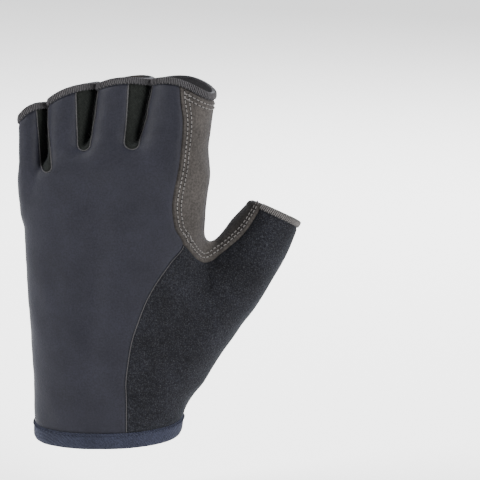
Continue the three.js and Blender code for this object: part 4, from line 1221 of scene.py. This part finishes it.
class GloveSettings(bpy.types.PropertyGroup):
    """Sizes of the glove's looks"""

    cell: bpy.props.FloatProperty(name="Cell", description="Size of the net's cells in mm", default=1.25)
    fold_depth: bpy.props.FloatProperty(name="Folds", description="Share of the folds' depth", default=1.0)
    stitch_pitch: bpy.props.FloatProperty(name="Stitch", description="Stitch length in mm", default=1.9)
    thread_radius: bpy.props.FloatProperty(name="Thread", description="Radius of the thread", default=0.26)
    loop_pitch: bpy.props.FloatProperty(name="Loops", description="Pitch of the overlock loops", default=0.8)
    hole_across: bpy.props.FloatProperty(name="Holes across", description="Pitch across", default=4.9)
    hole_along: bpy.props.FloatProperty(name="Holes along", description="Pitch along", default=5.7)
    hole_radius: bpy.props.FloatProperty(name="Hole", description="Radius of a perforation", default=0.45)


class GloveStep:
    """A step of the glove, run from the sidebar or by main"""

    bl_options = {"REGISTER", "UNDO"}

    def execute(self, context):
        self.build(context.scene.glove_settings)
        return {"FINISHED"}


class GLOVE_OT_back(GloveStep, bpy.types.Operator):
    """Builds the softshell panel of the back with the light edge of its slots"""

    bl_idname = "glove.back"
    bl_label = "Back panel"

    def build(self, props):
        obj = panel(props, "back_panel", softshell(), SHELL_WALL)
        net = panel_net(props, "back_panel")
        parts = []
        for slot in SLOTS:
            parts += piping(lines_at(net, slot["name"], -0.25), 0.28, -0.12, props)
        edge = trim("slot_piping", parts, grey_thread())
        finish_piece(obj, "back_panel")


class GLOVE_OT_palm(GloveStep, bpy.types.Operator):
    """Builds the perforated suede palm with its pull tab"""

    bl_idname = "glove.palm"
    bl_label = "Palm panel"

    def build(self, props):
        obj = panel(props, "palm_panel", suede(), SUEDE_WALL, roll=("below_rims", 0, 3.0, 0.3))
        net = panel_net(props, "palm_panel")
        # Perforations are dark discs on the uncut suede: painted shade inside the holes.
        holes = trim("palm_perforation_shade", discs(self.lattice(props, net), props.hole_radius, 0.05),
                     painted_hole_shade())
        rows, marks = stitched(net, "inside_tab", [TAB_STITCH_INSET], props, 0.1, TAB_STITCH_PITCH,
                               limit=lambda x, y, z: z < TAB_TOP)
        more, dots = stitched(net, "palm_beside_slit", [TAB_STITCH_INSET], props, 0.1, TAB_STITCH_PITCH)
        seams = trim("palm_stitches", rows + more, grey_thread())
        # Needle holes of the tab stitching are dark discs: painted shade inside the holes.
        needle = trim("palm_needle_hole_shade", marks + dots, painted_hole_shade())
        finish_piece(obj, "palm_panel")

    def lattice(self, props, net):
        """Perforations at an even pitch, in staggered rows that slant a little."""
        data, triangles = net
        corners = data[triangles]
        places = []
        slant = math.tan(HOLE_SLANT)
        for row in range(*HOLE_ROWS):
            for step in range(*HOLE_STEPS):
                x = (step + (row % 2) / 2) * props.hole_across
                z = row * props.hole_along + x * slant
                d = corners[:, :, [0, 2]] - np.array([x, z])
                a, b, c = d[:, 0], d[:, 1], d[:, 2]
                areas = np.stack([p[:, 0] * q[:, 1] - p[:, 1] * q[:, 0] for p, q in ((b, c), (c, a), (a, b))],
                                 axis=1)
                facing = corners[:, :, 4].mean(axis=1) > LEAST_FACING
                hit = np.flatnonzero(facing & ((areas > 0).all(axis=1) | (areas < 0).all(axis=1)))
                if len(hit) == 0:
                    continue
                share = areas[hit[0]] / areas[hit[0]].sum()
                spot = (corners[hit[0]] * share[:, None]).sum(axis=0)
                if spot[-1] < HOLE_INSET or spot[COLUMN["inside_patch"]] > -HOLE_TO_PATCH:
                    continue
                places.append(spot[:6])
        places = np.array(places)
        places[:, 3:6] /= np.linalg.norm(places[:, 3:6], axis=1)[:, None]
        places[:, :3] += places[:, 3:6] * folds(places, props.fold_depth)[:, None]
        return places


class GLOVE_OT_patch(GloveStep, bpy.types.Operator):
    """Builds the padded patch with its double stitching"""

    bl_idname = "glove.patch"
    bl_label = "Padded patch"

    def build(self, props):
        net = panel_net(props, "palm_patch")
        data = net[0]
        border = np.maximum(data[:, -1], 0)
        shift = folds(data, props.fold_depth)
        quilt = 0.5 * np.exp(-((border - 1.5) / 0.5) ** 2) + 0.5 * np.exp(-((border - 3.4) / 0.5) ** 2)
        top = PATCH_WALL * (0.55 + 0.45 * smooth(border, 0, 6)) - 0.7 * np.exp(-(border / 0.5) ** 2)
        outer = PATCH_LIFT + shift + top - quilt
        obj = mesh_object("palm_patch_cloth", *wall(net, outer, PATCH_LIFT - 0.25 + shift), patch_suede())
        rows, holes = [], []
        for offset, lift in PATCH_ROWS:
            some, dots = stitched(net, "inside_patch", [offset], props, lift)
            rows += some
            holes += dots
        trim("patch_stitches", rows, light_thread())
        # Needle holes are dark discs: painted shade inside the holes.
        trim("patch_needle_hole_shade", holes, painted_hole_shade())
        stands_for(obj, "palm_patch")


class GLOVE_OT_web(GloveStep, bpy.types.Operator):
    """Builds the suede strip round the web between index finger and thumb with its double stitching"""

    bl_idname = "glove.web"
    bl_label = "Web panel"

    def build(self, props):
        obj = panel(props, "web_panel", suede(), SUEDE_WALL, sink=0.95, roll=("below_thumb_rim", 0, 3.0, 0.3))
        net = panel_net(props, "web_panel")
        inside = ("thumb_side", "above_web_edge", "below_rims")
        rows, holes = [], []
        for seam in inside:
            base = EDGE_HEIGHT if seam == "below_rims" else 0
            offsets = [base + row for row in WEB_ROWS]
            limit = self.away_from_others(seam)
            some, dots = stitched(net, seam, offsets, props, 0.02, limit=limit)
            rows += some
            holes += dots
        seams = trim("web_stitches", rows, light_thread())
        # Needle holes are dark discs: painted shade inside the holes.
        needle = trim("web_needle_hole_shade", holes, painted_hole_shade())
        finish_piece(obj, "web_panel")

    def away_from_others(self, seam):
        """Keeps each row short of the panel's other borders."""
        def kept(x, y, z):
            near = np.full(len(x), 99.0)
            if seam != "thumb_side":
                near = np.minimum(near, thumb_side(x, y, z) - 1.8)
            if seam != "above_web_edge":
                near = np.minimum(near, above_web_edge(x, y, z) - 1.8)
            if seam != "below_rims":
                near = np.minimum(near, below_rims(x, y, z) - EDGE_HEIGHT - 1.0)
            else:
                near = np.minimum(near, middle_depth(x, z) + 2 - y)
            return near > 0
        return kept


class GLOVE_OT_thumb(GloveStep, bpy.types.Operator):
    """Builds the brushed knit panel of the thumb and the overlocked edge of its opening"""

    bl_idname = "glove.thumb"
    bl_label = "Thumb panel"

    def build(self, props):
        obj = panel(props, "thumb_panel", brushed_knit(), KNIT_WALL)
        net = panel_net(props, "thumb_panel")
        line = piping(lines_at(net, "thumb_side", 0.25), 0.22, -0.2, props)
        edge = trim("thumb_seam_line", line, grey_thread())
        finish_piece(obj, "thumb_panel")
        band = panel(props, "thumb_edge", overlock_thread(), EDGE_WALL, proud=TRIM_PROUD, sink=0.35)
        rim = loops(props, panel_net(props, "thumb_edge"), "below_thumb_rim", TRIM_PROUD)
        trim("thumb_edge_loops", rim, light_thread())
        stands_for(band, "thumb_edge")


class GLOVE_OT_fourchettes(GloveStep, bpy.types.Operator):
    """Builds the thin knit strips between the fingers"""

    bl_idname = "glove.fourchettes"
    bl_label = "Fourchettes"

    def build(self, props):
        for slot in SLOTS:
            obj = panel(props, slot["name"], strip_knit(), FOURCHETTE_WALL)
            finish_piece(obj, slot["name"])


class GLOVE_OT_hem(GloveStep, bpy.types.Operator):
    """Builds the jersey binding round the wrist"""

    bl_idname = "glove.hem"
    bl_label = "Hem band"

    def build(self, props):
        obj = panel(props, "hem_band", jersey(), HEM_WALL, proud=TRIM_PROUD, sink=0.45, puff=0.1)
        net = panel_net(props, "hem_band")
        rows, _ = stitched(net, "above_hem", [HEM_HEIGHT - 0.7], props, TRIM_PROUD, 1.5)
        seam = trim("hem_stitches", rows, jersey())
        finish_piece(obj, "hem_band")


class GLOVE_OT_edges(GloveStep, bpy.types.Operator):
    """Builds the overlocked edges of the finger openings"""

    bl_idname = "glove.edges"
    bl_label = "Finger edges"

    def build(self, props):
        for finger in FINGERS:
            name = "edge_" + finger["name"]
            band = panel(props, name, overlock_thread(), EDGE_WALL, proud=TRIM_PROUD, sink=0.35)
            rim = loops(props, panel_net(props, name), "below_rims", TRIM_PROUD)
            trim(name + "_loops", rim, overlock_loop_thread())
            stands_for(band, name)


class GLOVE_OT_stage(GloveStep, bpy.types.Operator):
    """Sets the pale floor, the soft studio light and the camera"""

    bl_idname = "glove.stage"
    bl_label = "Stage"

    def build(self, props):
        scene = bpy.context.scene
        floor_mat = bpy.data.materials.new("pale floor")
        floor_mat.use_nodes = True
        pale = floor_mat.node_tree.nodes["Principled BSDF"].inputs
        pale["Base Color"].default_value = (0.9, 0.9, 0.9, 1)
        pale["Roughness"].default_value = 0.9
        pale["Emission Color"].default_value = (1, 1, 1, 1)
        pale["Emission Strength"].default_value = 0.9
        mesh = bpy.data.meshes.new("floor")
        mesh.from_pydata([(-4, -4, -0.03), (4, -4, -0.03), (4, 4, -0.03), (-4, 4, -0.03)], [], [(0, 1, 2, 3)])
        mesh.materials.append(floor_mat)
        floor = bpy.data.objects.new("floor", mesh)
        scene.collection.objects.link(floor)
        world = bpy.data.worlds.new("studio")
        world.use_nodes = True
        world.node_tree.nodes["Background"].inputs["Color"].default_value = (0.97, 0.98, 1.0, 1)
        world.node_tree.nodes["Background"].inputs["Strength"].default_value = 0.42
        scene.world = world
        self.lamp("key", (-0.8, -0.32, 0.7), 0.4, 26)
        self.lamp("side", (0.85, -0.5, 0.55), 0.4, 24)
        self.lamp("rim", (0.1, 0.8, 0.6), 0.5, 18)
        self.camera(scene)

    def lamp(self, name, place, size, power):
        light = bpy.data.lights.new(name, "AREA")
        light.size = size
        light.energy = power
        obj = bpy.data.objects.new(name, light)
        obj.location = place
        aim = Vector((0.02, 0, 0.08)) - Vector(place)
        obj.rotation_euler = aim.to_track_quat("-Z", "Y").to_euler()
        bpy.context.scene.collection.objects.link(obj)

    def camera(self, scene):
        """The photo's view: a long lens, slightly above and slightly to the thumb side."""
        away = 3.0
        view_width = 0.2064
        aim = Vector((0.0573, 0.0, 0.0896))
        level = math.cos(VIEW_RISE)
        back = Vector((math.sin(VIEW_TURN) * level, -math.cos(VIEW_TURN) * level, math.sin(VIEW_RISE)))
        lens = bpy.data.cameras.new("camera")
        lens.sensor_width = 36
        lens.lens = 36 * away / view_width
        lens.clip_end = 50
        obj = bpy.data.objects.new("camera", lens)
        obj.location = aim + back * away
        obj.rotation_euler = (-back).to_track_quat("-Z", "Y").to_euler()
        scene.collection.objects.link(obj)
        scene.camera = obj


STEPS = [
    GLOVE_OT_back, GLOVE_OT_palm, GLOVE_OT_patch, GLOVE_OT_web, GLOVE_OT_thumb, GLOVE_OT_fourchettes,
    GLOVE_OT_hem, GLOVE_OT_edges, GLOVE_OT_stage,
]


class GLOVE_PT_panel(bpy.types.Panel):
    """The glove's settings and its steps"""

    bl_idname = "GLOVE_PT_panel"
    bl_label = "Trekking glove"
    bl_space_type = "VIEW_3D"
    bl_region_type = "UI"
    bl_category = "Glove"

    def draw(self, context):
        for key in GloveSettings.__annotations__:
            self.layout.prop(context.scene.glove_settings, key)
        for step in STEPS:
            self.layout.operator(step.bl_idname)


CLASSES = [GloveSettings, *STEPS, GLOVE_PT_panel]


def register():
    for one in CLASSES:
        bpy.utils.register_class(one)
    bpy.types.Scene.glove_settings = bpy.props.PointerProperty(type=GloveSettings)


def unregister():
    del bpy.types.Scene.glove_settings
    for one in reversed(CLASSES):
        bpy.utils.unregister_class(one)


def main():
    register()
    bpy.ops.glove.back()
    bpy.ops.glove.palm()
    bpy.ops.glove.patch()
    bpy.ops.glove.web()
    bpy.ops.glove.thumb()
    bpy.ops.glove.fourchettes()
    bpy.ops.glove.hem()
    bpy.ops.glove.edges()
    bpy.ops.glove.stage()
    bpy.context.view_layer.update()


if __name__ == "__main__":
    main()
